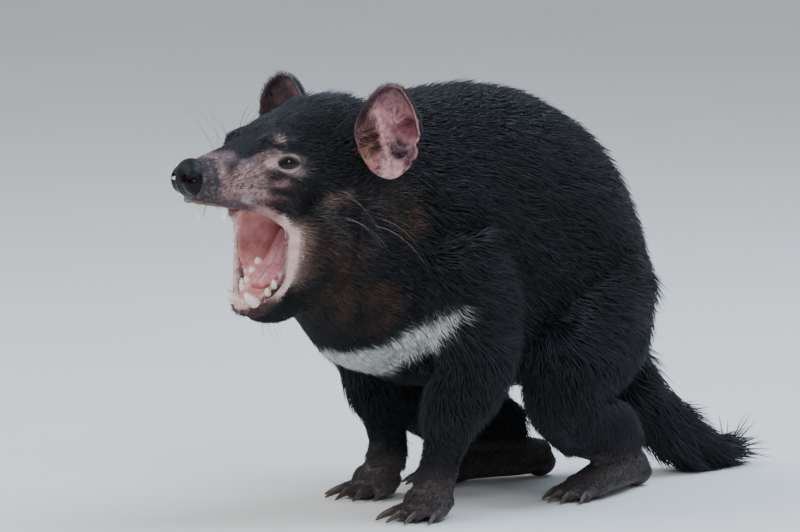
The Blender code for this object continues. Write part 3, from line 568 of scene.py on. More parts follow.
def build_skin():
    front = midline_loft("front", TRUNK, BODY, sides=40)
    rear = copy_of(front, "rear")
    combine(front, half_space("front_cut", (-0.2, -0.1, -0.05), (0.2, 0.03, 0.35)), "INTERSECT")
    combine(rear, half_space("rear_cut", (-0.2, -0.002, -0.05), (0.2, 0.3, 0.35)), "INTERSECT")
    solid_head = join("solid_head", [front, *head_forms()])
    fuse(solid_head, HEAD_VOXEL, 4)
    for name, stations in HOLLOWS:
        combine(solid_head, cavity_loft(name, stations), "DIFFERENCE")
    pieces = [shell_kept(solid_head), rear]
    pieces += [limb("foreleg", line, BODY) for line in (FORELEG, RIGHT_FORELEG)]
    for name, stations in (("hindleg", HINDLEG), ("hindfoot", HINDFOOT)):
        pieces.append(limb(name, stations, BODY))
        pieces.append(limb(name, mirrored(stations, RIGHT_FOOT_FORWARD), BODY))
    pieces.append(limb("tail", [row[:4] for row in TAIL], BODY))
    fore, hind = (FORE_PALM, FORE_TOES, RIGHT_FOREPAW_AT), (HIND_PALM, HIND_TOES, RIGHT_FOOT_AT)
    for palm, toes, right_at in (fore, hind):
        pieces += paw_forms(1, palm, toes, Vector())
        pieces += paw_forms(-1, palm, toes, right_at)
    for side in (-1, 1):
        for line in (UPPER_LIP, MOUTH_CORNER, UPPER_GUM, LOWER_GUM):
            rows = [(*sided(side, row), row[-1]) for row in line]
            pieces.append(limb("roll", rows, HEAD, sides=12))
    skin = join("skin", pieces)
    modify(skin, "REMESH", mode="VOXEL", voxel_size=SKIN_VOXEL)
    shell_kept(skin)
    modify(skin, "SMOOTH", factor=0.5, iterations=4)
    # The body is smoothed more than the head and paws, and then thinned.
    points = points_of(skin)
    body = eased(0.1, 0.13, into(HEAD, points)[:, 1]) * eased(0.03, 0.045, points[:, 2])
    group = skin.vertex_groups.new(name="body")
    levels = np.round(body * 8).astype(int)
    for level in range(9):
        group.add(np.flatnonzero(levels == level).tolist(), level / 8, "REPLACE")
    modify(skin, "SMOOTH", factor=0.5, iterations=14, vertex_group="body")
    modify(skin, "TRIANGULATE")
    thinner = min(1.0, SKIN_TRIANGLES / len(skin.data.polygons))
    modify(skin, "DECIMATE", ratio=thinner, vertex_group="body", vertex_group_factor=4.0)
    skin.vertex_groups.clear()
    return skin


SKIN = build_skin()

# What covers each place of the skin: colour, wetness, mottling, coat and depth under the solids' surface

BLACK = (0.006, 0.0067, 0.0098)
BROWN = (0.07, 0.036, 0.022)
TAN = (0.26, 0.165, 0.12)
WHITE = (0.74, 0.74, 0.73)
PALE_PINK = (0.7, 0.44, 0.4)
LIP_PINK = (0.74, 0.49, 0.45)
LINING_PINK = (0.64, 0.27, 0.26)
# The deep red of the throat is painted shade of the deep mouth.
THROAT_SHADE_RED = (0.3, 0.03, 0.055)
# The darker red of the roof of the mouth is painted shade.
PALATE_SHADE_RED = (0.252, 0.09, 0.074)
GUM_PINK = (0.66, 0.3, 0.28)
MUZZLE_PINK = (0.26, 0.148, 0.146)
# The white band on the chest: distance from the middle plane, its middle's height, half its width
WHITE_BAND = mm(
    (0, 6, 22, 40, 52, 60, 67, 74), (92.6, 92, 95.2, 105, 113.8, 119.8, 125.5, 133.5),
    (9, 9.5, 7, 5.4, 5.2, 4.6, 4, 2.4),
)
MUZZLE_GREY = (0.12, 0.084, 0.094)
DARK_LIP = (0.05, 0.03, 0.034)
CHEEK_GREY = (0.105, 0.085, 0.082)
FOOT_GREY = (0.04, 0.032, 0.032)


class Cover:
    """Values on every point of a surface, laid on one region after another."""

    def __init__(self, count):
        self.tone = np.tile(np.array(BLACK), (count, 1))
        self.wet = np.zeros(count)
        self.mottle = np.zeros(count)
        self.length = np.full(count, 0.019)
        self.rise = np.full(count, 0.22)
        self.amount = np.ones(count)
        self.depth = np.full(count, 0.005)
        self.flow = np.zeros((count, 3))
        self.white = np.zeros(count)

    def lay(self, region, **values):
        for name, value in values.items():
            old = getattr(self, name)
            if old.ndim == 2:
                new = blend(old, region, value)
            else:
                new = old * (1 - region) + np.array(value) * region
            setattr(self, name, new)


def tree_of(obj):
    """The surface of a piece, ready to be searched."""
    points = [tuple(p) for p in points_of(obj)]
    return BVHTree.FromPolygons(points, [p.vertices[:] for p in obj.data.polygons])


def cavity_depth(points):
    """How far points are inside the mouth's hollows, negative outside."""
    found = np.full(len(points), -0.05)
    x, y, z = into(HEAD, points).T
    close = np.flatnonzero((y < 0.105) & (z < 0.212) & (np.abs(x) < 0.045))
    for name, stations in HOLLOWS:
        hollow = cavity_loft(name, stations)
        tree = tree_of(hollow)
        for k in close:
            place, normal, _, away = tree.find_nearest(Vector(points[k]))
            if away <= 0.005:
                inside = (Vector(points[k]) - place).dot(normal) < 0
                found[k] = max(found[k], away if inside else -away)
        bpy.data.objects.remove(hollow)
    return found


# Spots of the head: centre, reach, even and ragged share, colour
CHEEK_SPOTS = (
    ((44, 84, 158), (22, 26, 34), 0.6, 0.35, BROWN),
    ((50, 124, 186), (24, 20, 22), 0.6, 0.35, BROWN),
    ((34, 108, 128), (36, 40, 26), 0.52, 0.38, BROWN),
    ((36, 72, 192), (20, 26, 18), 0.5, 0.4, CHEEK_GREY),
    ((47, 98, 178), (22, 30, 30), 0.3, 0.3, (0.045, 0.04, 0.042)),
    ((41.5, 84.5, 195.5), (13, 11, 7.5), 0.55, 0.45, TAN),
)


def cover_of_skin():
    points, normals = points_of(SKIN), normals_of(SKIN)
    cover = Cover(len(points))
    lay = cover.lay
    h = into(HEAD, points)
    side = np.sign(h[:, 0])[:, None]
    h[:, 0] = np.abs(h[:, 0])
    hx, hy, hz = h.T
    b = points - np.array(SHIFT)
    x, y, z = np.abs(b[:, 0]), b[:, 1], b[:, 2]
    under = -normals[:, 2]
    turn = np.array(HEAD.to_3x3().normalized())
    head_normals = normals @ turn
    ragged = waves(points, 0.01, 3)
    lumps = waves(points, 0.03, 5)
    reach = waves(points, 0.006, 8) * 0.0006

    def spot(centre, size, even=1.0, uneven=0.0, at=h):
        """A region round a place of the head, in millimetres, of an even and a ragged strength."""
        return around(at, mm(*centre), mm(*size)) * (even + uneven * ragged)

    # Lie of the coat: back along the trunk and down its flanks, down the legs, forward over the toes
    cover.flow[:] = (0, 0.9, -0.55)
    lay(eased(0.14, 0.19, y), flow=(0, 0.35, -1))
    front = faded(-0.02, 0.03, y) * eased(0.25, 0.75, -normals[:, 1]) * faded(0.13, 0.16, z)
    lay(front, flow=np.stack([np.sign(b[:, 0]) * 0.55, np.full(len(x), 0.25), np.full(len(x), -1.0)], 1))
    legs = eased(0.026, 0.036, x) * faded(0.085, 0.12, z)
    lay(legs, flow=(0, 0.3, -1), length=0.014, depth=0.0038)
    lay(legs * faded(0.045, 0.075, z), length=0.0085, depth=0.002, rise=0.17, amount=1.4)
    paws = faded(0.024, 0.036, z) * faded(0.205, 0.212, y) * eased(0.02, 0.026, x)
    lay(paws, flow=(0, -0.9, -0.35), length=0.0036, depth=0.0005, rise=0.12, amount=1.9, tone=FOOT_GREY)
    lay(paws, mottle=0.35)
    lay(faded(0.006, 0.011, z), amount=0.25 * paws, length=0.002)
    lay(eased(0.5, 0.8, under) * paws, amount=0)
    lay(eased(0.5, 0.9, under) * eased(0.05, 0.07, z), length=0.014)

    # Head: back from the nose, shorter towards the face, raised on the crown and round the ears
    is_head = faded(0.112, 0.15, hy)
    lay(is_head, flow=turn @ np.array((0, 1, -0.16)), length=0.0105, depth=0.0026, amount=2.3, rise=0.2)
    lay(is_head * faded(0.06, 0.088, hy), length=0.0062, depth=0.0014, amount=3.2)
    lay(eased(0.074, 0.09, hy) * faded(0.112, 0.135, hy) * eased(0.234, 0.243, hz), length=0.0125, rise=0.42)
    crest = spot((40, 102, 236), (18, 18, 24))
    collar = spot((48, 101, 212), (14, 13, 28)) * (1 - crest)
    lay(crest, length=0.015, rise=0.55, amount=2.6)
    lay(collar, length=0.0092, rise=0.32, amount=2)
    over_ear = np.maximum(crest, collar)
    lay(over_ear, flow=turn @ np.array((0, 0.85, 0.4)) + 0.35 * side * (turn @ np.array((1, 0, 0))))
    lay(spot((52, 121, 212), (14, 16, 16)) * (1 - over_ear), length=0.0045, rise=0.1)
    jaw = is_head * faded(0.135, 0.15, hz) * faded(0.085, 0.11, hy)
    lay(jaw, flow=turn @ np.array((0, 1, -0.45)), length=0.006, depth=0.0012, amount=3)
    low_cheek = is_head * faded(0.17, 0.2, hz) * eased(0.07, 0.085, hy)
    lay(low_cheek, flow=turn @ np.array((0.15, 1, -0.5)))
    cover.tone *= (1 + 0.25 * lumps)[:, None]
    for centre, size, even, uneven, tone in CHEEK_SPOTS:
        lay(spot(centre, size, even, uneven), tone=tone)

    # Muzzle: nearly bare, pinkish grey and speckled, with dark hair on its ridge
    streaks = waves(h * (1, 0.35, 1), 0.0035, 6)
    muzzle = faded(0.043, 0.062, hy + 0.004 * ragged + 0.003 * streaks) * eased(0.176, 0.182, hz)
    lay(muzzle, length=0.0028, depth=0.0004, rise=0.14, amount=1.9)
    ridge = hz - 0.2175 - 0.45 * (hy - 0.035) + 0.0022 * ragged
    bare = muzzle * np.maximum(faded(-0.002, 0.0025, ridge), faded(0.026, 0.036, hy + 0.003 * ragged))
    lay(bare, tone=MUZZLE_PINK, mottle=1, wet=0.3, amount=0.42, length=0.0017, depth=0.0002)
    lay(bare * eased(0.212, 0.219, hz) * 0.85, tone=MUZZLE_GREY)
    lay(bare * spot((21, 42, 206), (14, 15, 13), 0.6, 0.4) * 0.8, tone=(0.4, 0.265, 0.255))
    lay(bare * spot((10, 14, 203), (17, 18, 22)) * 0.7, tone=(0.2, 0.138, 0.15))
    rim_of_pad = faded(0.0175, 0.0245, hy + 0.0015 * ragged + 0.001 * streaks)
    lay(bare * rim_of_pad, tone=(0.03, 0.024, 0.03), wet=0.5, mottle=0.45)

    # Round the eye: dark lids, with bare pale skin in front, a little behind, and a pale spot above
    eye = np.array(EYE_AT) + np.array(EYE_LOOK) * EYE_RADIUS
    ring = faded(0.0078, 0.01, np.linalg.norm((h - eye) * (0.8, 0.8, 1.15), axis=1) + reach)
    lay(ring, tone=(0.075, 0.055, 0.058), length=0.0024, amount=1.6, depth=0.0009)
    patch = spot((27.6, 53.2, 218.6), (7, 6.4, 6.8), at=h + reach[:, None] * 1.8)
    lay(patch, tone=(0.62, 0.415, 0.405), length=0.0016, amount=0.3, mottle=0.3, depth=0.0007)
    lay(spot((33.5, 65, 211.5), (7, 11, 4.2)) * 0.7, tone=(0.3, 0.21, 0.205), length=0.0024, amount=1)
    brow = spot((26.2, 57, 231.8), (5.4, 4.2, 4.6), 0.75, 0.35, h + reach[:, None])
    lay(brow, tone=(0.33, 0.225, 0.225), length=0.0042)

    # Lips and the lining of the mouth, darker and redder towards the throat with painted shade of its depth
    inside = cavity_depth(points)
    away, _ = distance_to_line(h, [row[:3] for row in MOUTH_CORNER])
    fringe = faded(0.0045, 0.0125, away + 0.002 * ragged) * eased(0.135, 0.15, hz) * faded(0.176, 0.186, hz)
    lay(fringe, tone=(0.235, 0.155, 0.128), length=0.005, depth=0.0008)
    near = faded(0.003, 0.0054, away + 0.0008 * ragged) * faded(0.184, 0.19, hz)
    lay(near, tone=LIP_PINK, wet=0.5, mottle=0.25, amount=0.25, length=0.003, depth=0)
    chin = near * faded(0.131, 0.14, hz) * eased(-0.35, 0.15, -head_normals[:, 2] - head_normals[:, 1])
    lay(chin, tone=(0.055, 0.022, 0.026), amount=2.2, length=0.0035, wet=0.2, mottle=0.6)
    lip_away, _ = distance_to_line(h, [row[:3] for row in UPPER_LIP])
    upper = faded(0.0022, 0.004, lip_away) * faded(0.054, 0.062, hy)
    lay(upper, tone=DARK_LIP, wet=0.5, mottle=0.2, amount=0.5, depth=0)
    lay(upper * eased(0.038, 0.052, hy), tone=(0.46, 0.27, 0.24))
    lay(spot((19.5, 42, 195.2), (6, 7.5, 3.6), 0.75, 0.25), tone=(0.5, 0.47, 0.48), length=0.004, amount=1.2)
    outline = [*MOUTH_CORNER[::-1], *UPPER_LIP[-2::-1]]
    lip_width = np.interp(hz, [row[2] for row in outline], [row[0] for row in outline])
    lining = eased(-0.0016, -0.0006, inside) * faded(-0.0005, 0.0015, hx - lip_width)
    lining = np.maximum(lining * (1 - upper * 0.8), 0)
    lay(lining, tone=LINING_PINK, wet=1, mottle=0.2, amount=0, depth=0, length=0.002)
    # The roof of the mouth is painted darker: painted shade under the palate.
    lay(lining * eased(0.18, 0.19, hz) * eased(0.035, 0.055, hy) * 0.8, tone=PALATE_SHADE_RED)
    # Towards the throat the lining is painted dark red: painted shade of the deep mouth.
    lay(lining * eased(0.074, 0.092, hy), tone=THROAT_SHADE_RED)
    for line in (UPPER_GUM, LOWER_GUM):
        gum_away, _ = distance_to_line(h, [row[:3] for row in line])
        lay(lining * faded(0.0036, 0.0052, gum_away), tone=GUM_PINK)
    lay(lining * faded(0.0045, 0.006, away), tone=(0.72, 0.4, 0.37))

    # The white band, from the middle of the chest up to a point in front of each shoulder
    middle, half = (np.interp(x, WHITE_BAND[0], row) for row in WHITE_BAND[1:])
    band = faded(-0.0012, 0.0016, np.abs(z - middle) - (half + 0.0008 * ragged))
    band *= faded(0.002, 0.01, y) * faded(0.069, 0.073, x)
    band *= 1 - eased(0.113, 0.118, z) * faded(-0.035, -0.025, y)
    lay(band, tone=WHITE, white=1, length=0.009, amount=2.2)
    edge = spot((30, 4, -30), (55, 30, 80), at=np.stack([x, z - middle, y], 1)) * (1 - band)
    lay(edge, length=0.0085)

    # Tail: long hair along its own line, from a core that lies in the solids
    on_tail = eased(0.19, 0.205, y + (0.06 - z) * 0.5) * faded(0, 0.006, x - 0.018 - 0.02 * (z > 0.04))
    line = curve_through(TAIL, 6)[:, :3]
    _, where = distance_to_line(b, line)
    steps = np.gradient(line, axis=0)
    where_in_line = where * (len(line) - 1)
    along = np.stack([np.interp(where_in_line, np.arange(len(line)), steps[:, k]) for k in range(3)], 1)
    along /= np.linalg.norm(along, axis=1)[:, None]
    lay(on_tail, flow=along, length=0.026, rise=0.3, depth=0.0002, amount=1.6)
    lay(on_tail * eased(0.55, 0.98, where), length=0.033, rise=0.2, amount=2.2)
    cover.inside = lining
    cover.amount = np.clip(cover.amount, 0, None)
    cover.length = np.clip(cover.length * (1 + 0.1 * lumps), 0.0015, None)
    return cover


def sink_skin(cover):
    """Moves the skin in under the coat, behind the lids and off the floor, and folds the lining."""
    points, normals = points_of(SKIN), normals_of(SKIN)
    folds = waves(into(HEAD, points) * (1, 1, 0.35), 0.006, 14) * 0.0005
    points -= normals * (cover.depth - folds * cover.inside * (1 - cover.wet * 0.2))[:, None]
    for side in (-1, 1):
        local = into(eye_frame(side), points)
        out = np.linalg.norm(local, axis=1)
        opening = faded(0.8, 1.15, np.hypot(np.abs(local[:, 0]) / 0.0068, np.abs(local[:, 1]) / 0.0046))
        opening = opening * (local[:, 2] > 0) * (out < 0.012)
        wanted = EYE_RADIUS - 0.0012
        share = np.where(out > wanted, wanted / np.maximum(out, 1e-6), 1.0)
        local *= (1 - opening * (1 - share))[:, None]
        points = np.where((opening > 0)[:, None], out_of(eye_frame(side), local), points)
    points[:, 2] = np.maximum(points[:, 2], 0.0003)
    set_points(SKIN, points)


def eye_frame(side):
    """The eye's own frame: X along the lids, Y up and Z out along its look."""
    look = Vector(sided(side, EYE_LOOK)).normalized()
    along = Vector((0, 0, 1)).cross(look).normalized()
    turn = Matrix((along, look.cross(along), look)).transposed().to_4x4()
    at = Vector(sided(side, EYE_AT)) - look * EYE_DEEPER
    return HEAD @ Matrix.Translation(at) @ turn @ Matrix.Scale(EYE_BIGGER, 4)


def unwrap(obj):
    active(obj)
    bpy.ops.object.mode_set(mode="EDIT")
    bpy.ops.mesh.select_all(action="SELECT")
    bpy.ops.uv.smart_project(angle_limit=math.radians(60), island_margin=0.001)
    bpy.ops.object.mode_set(mode="OBJECT")


# Coat: closed three-sided spikes, sunk in the skin, bent to lie along it


def roots_on(obj, cover, count, seed):
    """Even, seeded places on a triangle mesh with the cover's values there."""
    dice = np.random.default_rng(seed)
    corners = read(obj.data.loops, "vertex_index", 1, np.int64).reshape(-1, 3)
    uv = read(obj.data.uv_layers.active.data, "uv", 2).reshape(-1, 3, 2)
    points, normals = points_of(obj), normals_of(obj)
    a, b, c = (points[corners[:, k]] for k in range(3))
    area = np.linalg.norm(np.cross(b - a, c - a), axis=1) / 2
    total = np.cumsum(area * cover.amount[corners].mean(1))
    picks = (np.arange(count) + dice.random(count)) / count * total[-1]
    face = np.minimum(np.searchsorted(total, picks), len(area) - 1)
    u, v = dice.random(count), dice.random(count)
    over = u + v > 1
    u[over], v[over] = 1 - u[over], 1 - v[over]
    shares = np.stack([1 - u - v, u, v], 1)

    def at(values):
        spread = values[corners[face]]
        return (spread * (shares[:, :, None] if spread.ndim == 3 else shares)).sum(1)

    found = {name: at(getattr(cover, name)) for name in ("tone", "length", "rise", "flow", "white", "amount")}
    found["root"] = at(points)
    found["normal"] = unit(at(normals))
    found["uv"] = (uv[face] * shares[:, :, None]).sum(1)
    kept = found["amount"] > 0.05
    return {name: value[kept] for name, value in found.items()}


# A tuft: two rings of three corners and a tip. Here are its rings, by how far along and how wide they are,
# its faces and its map.
TUFT_RINGS = ((0.0, 0.85), (0.5, 0.8))
TUFT_SIDES = ((0, 1, 4), (0, 4, 3), (1, 2, 5), (1, 5, 4), (2, 0, 3), (2, 3, 5))
TUFT_FACES = ((0, 2, 1), *TUFT_SIDES, (3, 4, 6), (4, 5, 6), (5, 3, 6))
TUFT_MAP = ((-1, -1), (1, -1), (0, -1), (-1, 0), (1, 0), (0, 0), (0, 1))
TUFT_CORNERS = 7
TUFT_ROOT_SUNK = 0.0006
MAP_PATCH = 0.0015
# Share of tufts painted lighter, as painted glints of sheen on the coat.
GLINT_SHARE = 0.07


def tufts(name, roots, seed, width, finish):
    """Builds a piece of coat; each spike has a bent middle, and its map is a small patch at its root."""
    dice = np.random.default_rng(seed)
    root, normal = roots["root"], roots["normal"]
    count = len(root)
    flow = roots["flow"] / (np.linalg.norm(roots["flow"], axis=1)[:, None] + 1e-9)
    swirl = np.stack([waves(root, 0.012, seed + k) for k in (1, 2, 3)], 1)
    flow = flow + 0.2 * swirl + dice.normal(size=(count, 3)) * 0.13
    flow -= normal * (flow * normal).sum(1)[:, None]
    flow /= np.linalg.norm(flow, axis=1)[:, None] + 1e-9
    across = np.cross(flow, normal)
    length = roots["length"] * dice.uniform(0.7, 1.25, count)
    half = width(roots["length"]) * dice.uniform(0.75, 1.25, count) / 2
    rise = roots["rise"] * dice.uniform(0.6, 1.45, count)
    sway = dice.normal(size=count) * 0.1
    rings = []
    for t, share in TUFT_RINGS:
        lift = length * rise * t * (1.75 - 0.75 * t) - (TUFT_ROOT_SUNK if t == 0 else 0)
        centre = root + flow * (length * t)[:, None] + normal * lift[:, None]
        centre += across * (length * sway * t * t)[:, None]
        size = (half * share)[:, None]
        rings += [centre - across * size, centre + across * size, centre + normal * size * 1.1]
    tip = root + flow * length[:, None] + normal * (length * rise)[:, None]
    tip = tip + across * (length * sway)[:, None]
    vertices = np.stack([*rings, tip], 1)
    vertices[:, :, 2] = np.maximum(vertices[:, :, 2], 0.0004)
    faces = (np.array(TUFT_FACES)[None] + np.arange(count)[:, None, None] * TUFT_CORNERS).reshape(-1, 3)
    uv = (roots["uv"][:, None, :] + np.array(TUFT_MAP)[None] * MAP_PATCH).reshape(-1, 2)
    mesh = bpy.data.meshes.new(name)
    mesh.vertices.add(count * TUFT_CORNERS)
    mesh.vertices.foreach_set("co", vertices.astype(np.float32).ravel())
    mesh.loops.add(faces.size)
    mesh.loops.foreach_set("vertex_index", faces.astype(np.int32).ravel())
    mesh.polygons.add(len(faces))
    mesh.polygons.foreach_set("loop_start", np.arange(0, faces.size, 3, dtype=np.int32))
    mesh.polygons.foreach_set("use_smooth", np.ones(len(faces), bool))
    mesh.update(calc_edges=True)
    layer = mesh.uv_layers.new(name="OFBake")
    layer.data.foreach_set("uv", uv[faces.ravel()].astype(np.float32).ravel())
    obj = placed(name, mesh)
    # A few tufts are painted over twice as light: painted glints of sheen on the black coat.
    pale = np.where(dice.random(count) < GLINT_SHARE, 2.3, 1.0)
    tone = roots["tone"] * (dice.uniform(0.65, 1.35, count) * pale)[:, None]
    store(obj, "tone", np.repeat(np.minimum(tone, 0.92), TUFT_CORNERS, axis=0), "FLOAT_COLOR")
    return finished(obj, finish, smooth=False)


def finished(obj, finish, smooth=True):
    """Gives a piece its material and lets it ride on the body."""
    obj.data.materials.clear()
    obj.data.materials.append(finish)
    if smooth:
        obj.data.polygons.foreach_set("use_smooth", np.ones(len(obj.data.polygons), bool))
    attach(obj, "root")
    return obj


# Finishes


class Finish:
    """A Principled material, and short ways to add and link its nodes."""

    def __init__(self, name, **sockets):
        """Even values are set on the shader's own sockets."""
        self.material = bpy.data.materials.new(name)
        self.material.use_nodes = True
        self.shader = self.material.node_tree.nodes["Principled BSDF"]
        for key, value in sockets.items():
            self.shader.inputs[key.replace("_", " ")].default_value = value

    def add(self, kind, inputs, output, **settings):
        """Adds a node; a given input is a value or another node's output."""
        made = self.material.node_tree.nodes.new("ShaderNode" + kind)
        for key, value in settings.items():
            setattr(made, key, value)
        for key, value in inputs.items():
            if isinstance(value, bpy.types.NodeSocket):
                self.link(value, made.inputs[key])
            else:
                made.inputs[key].default_value = (*value, 1) if isinstance(value, tuple) else value
        return made.outputs[output]

    def link(self, output, socket):
        if isinstance(socket, str):
            socket = self.shader.inputs[socket]
        self.material.node_tree.links.new(output, socket)

    def pattern(self, kind, output, **inputs):
        """A texture over the object's own coordinates."""
        return self.add(kind, {"Vector": self.add("TexCoord", {}, "Object"), **inputs}, output)

    def noise(self, scale, detail=3.0):
        return self.pattern("TexNoise", "Fac", Scale=scale, Detail=detail)

    def ramped(self, value, low, high, start=0.0, end=1.0):
        inputs = {"From Min": low, "From Max": high, "To Min": start, "To Max": end, "Value": value}
        return self.add("MapRange", inputs, "Result")

    def times(self, first, second):
        return self.add("Math", {0: first, 1: second}, 0, operation="MULTIPLY")

    def mixed(self, share, first, second, blend="MIX"):
        """Colour first, with share of second over it."""
        return self.add("Mix", {0: share, 6: first, 7: second}, 2, data_type="RGBA", blend_type=blend)

    def attribute(self, name, output="Fac"):
        return self.add("Attribute", {}, output, attribute_name=name)

    def bumped(self, height, strength, distance):
        inputs = {"Strength": strength, "Distance": distance, "Height": height}
        self.link(self.add("Bump", inputs, "Normal"), "Normal")


def skin_finish():
    made = Finish("skin", Specular_IOR_Level=0.3)
    tone, wet, mottle = made.attribute("tone", "Color"), made.attribute("wet"), made.attribute("mottle")
    dark = made.times(made.ramped(made.noise(420.0), 0.5, 0.66), mottle)
    colour = made.mixed(made.times(dark, 0.75), tone, (0.045, 0.03, 0.036))
    cells = made.pattern("TexVoronoi", "Distance", Scale=440.0)
    speckle = made.times(made.ramped(cells, 0.6, 0.1), mottle)
    speckle = made.times(speckle, made.ramped(made.noise(230.0), 0.44, 0.6))
    colour = made.mixed(made.times(speckle, 0.55), colour, (0.56, 0.37, 0.36))
    colour = made.mixed(1.0, colour, made.ramped(made.noise(160.0), 0.35, 0.7, 0.8, 1.18), "MULTIPLY")
    made.link(colour, "Base Color")
    made.link(made.ramped(wet, 0.0, 1.0, 0.62, 0.2), "Roughness")
    made.bumped(made.noise(900.0, 5.0), 0.35, 0.0006)
    return made.material


def coat_finish(name, **sockets):
    made = Finish(name, **sockets)
    shade = made.ramped(made.noise(260.0), 0.35, 0.7, 0.78, 1.25)
    made.link(made.mixed(1.0, made.attribute("tone", "Color"), shade, "MULTIPLY"), "Base Color")
    return made.material


def textured(name, colour, darker, scale, bump, distance, **sockets):
    """A finish whose colour, given or from the piece, varies in lumps, over a fine bump."""
    made = Finish(name, **sockets)
    base = colour or made.attribute("tone", "Color")
    share = made.ramped(made.noise(scale), 0.4, 0.68)
    made.link(made.mixed(share, base, made.mixed(1.0, base, darker, "MULTIPLY")), "Base Color")
    made.bumped(made.noise(scale * 3.5, 5.0), bump, distance)
    return made.material


SKIN_FINISH = skin_finish()
COAT_FINISH = coat_finish("black coat", Roughness=0.44, Specular_IOR_Level=0.45)
WHITE_FINISH = coat_finish("white coat", Roughness=0.55)
EAR_FINISH = textured(
    "ear skin", None, (0.55, 0.45, 0.52), 300.0, 0.7, 0.0009,
    Roughness=0.46, Subsurface_Weight=0.15, Subsurface_Scale=0.002,
)
NOSE_FINISH = textured(
    "nose pad", None, (0.6, 0.6, 0.7), 700.0, 0.6, 0.0004, Roughness=0.27, Specular_IOR_Level=0.18
)
TONGUE_FINISH = textured(
    "tongue", None, (0.78, 0.62, 0.62), 420.0, 0.5, 0.0005, Roughness=0.25, Coat_Weight=0.4
)
TEETH_FINISH = textured("teeth", None, (0.93, 0.88, 0.78), 300.0, 0.1, 0.0002, Roughness=0.2, Coat_Weight=0.3)
EYE_FINISH = textured(
    "eye", None, (0.8, 0.8, 0.8), 500.0, 0.0, 0.0001, Roughness=0.05, Specular_IOR_Level=0.35
)
HORN, DARK, PALE = (0.085, 0.066, 0.055), (0.01, 0.01, 0.011), (0.42, 0.4, 0.39)
CLAW_FINISH = textured("claw horn", HORN, (0.5, 0.45, 0.42), 500.0, 0.3, 0.0003, Roughness=0.38)
DARK_BRISTLE = textured("dark bristle", DARK, (0.7, 0.7, 0.7), 300.0, 0.0, 0.0001, Roughness=0.35)
PALE_BRISTLE = textured("pale bristle", PALE, (0.8, 0.8, 0.8), 300.0, 0.0, 0.0001, Roughness=0.4)

COVER = cover_of_skin()
sink_skin(COVER)
unwrap(SKIN)
store(SKIN, "tone", COVER.tone, "FLOAT_COLOR")
store(SKIN, "wet", COVER.wet)
store(SKIN, "mottle", COVER.mottle)
finished(SKIN, SKIN_FINISH)
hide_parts(*FLESH)

TUFTS = 136000
TUFTS_A_PIECE = 19000


def grow_coat():
    roots = roots_on(SKIN, COVER, TUFTS, 21)
    order = np.argsort(roots["root"][:, 1], kind="stable")
    white = roots["white"][order] > 0.5
    groups = [("coat_white", order[white], WHITE_FINISH, "white_coat")]
    dark = order[~white]
    for k in range(math.ceil(len(dark) / TUFTS_A_PIECE)):
        chosen = dark[k * TUFTS_A_PIECE : (k + 1) * TUFTS_A_PIECE]
        groups.append((f"coat_{k + 1}", chosen, COAT_FINISH, "coat"))

    def width(length):
        return 0.0003 + 0.00052 * np.clip(length / 0.019, 0, 1.3)

    for k, (name, chosen, finish, slot) in enumerate(groups):
        tufts(name, {key: value[chosen] for key, value in roots.items()}, 40 + k, width, finish)


grow_coat()

# Ears: a cupped sheet with a hooked fold, a wrinkled lower lobe, a rolled rim and two notches


def hump(points, width, *line):
    """A ridge along a line of flat (across, height) places."""
    away, _ = distance_to_line(points, [(*place, 0) for place in line])
    return bell((away, width))


# The ear's outline and relief, on a disc of radius 1 seen from in front: X outwards and Y up
EAR_SPOKES = 110
EAR_HOOPS = 34
EAR_THICKNESS = 0.0013
EAR_HAIRS = 7000
EAR_HAIR_WIDTH = 0.00024
FOLD = (0.055, (-0.12, 0.44), (-0.08, 0.24), (0.04, 0.16), (0.17, 0.24))
CREASE = (0.07, (0.08, 0.14), (0.45, 0.18), (0.92, 0.26))
RIDGE = (0.13, (-0.52, 0.4), (-0.38, 0.02), (-0.24, -0.3), (-0.02, -0.62))
LOBE = (0.2, (0.12, -0.42), (0.78, -0.38))
FRONT_FOLD = (0.1, (-0.72, 0.55), (-0.8, 0.0), (-0.62, -0.55))
LOWER_CREASE = (0.07, (0.1, -0.68), (0.62, -0.64))


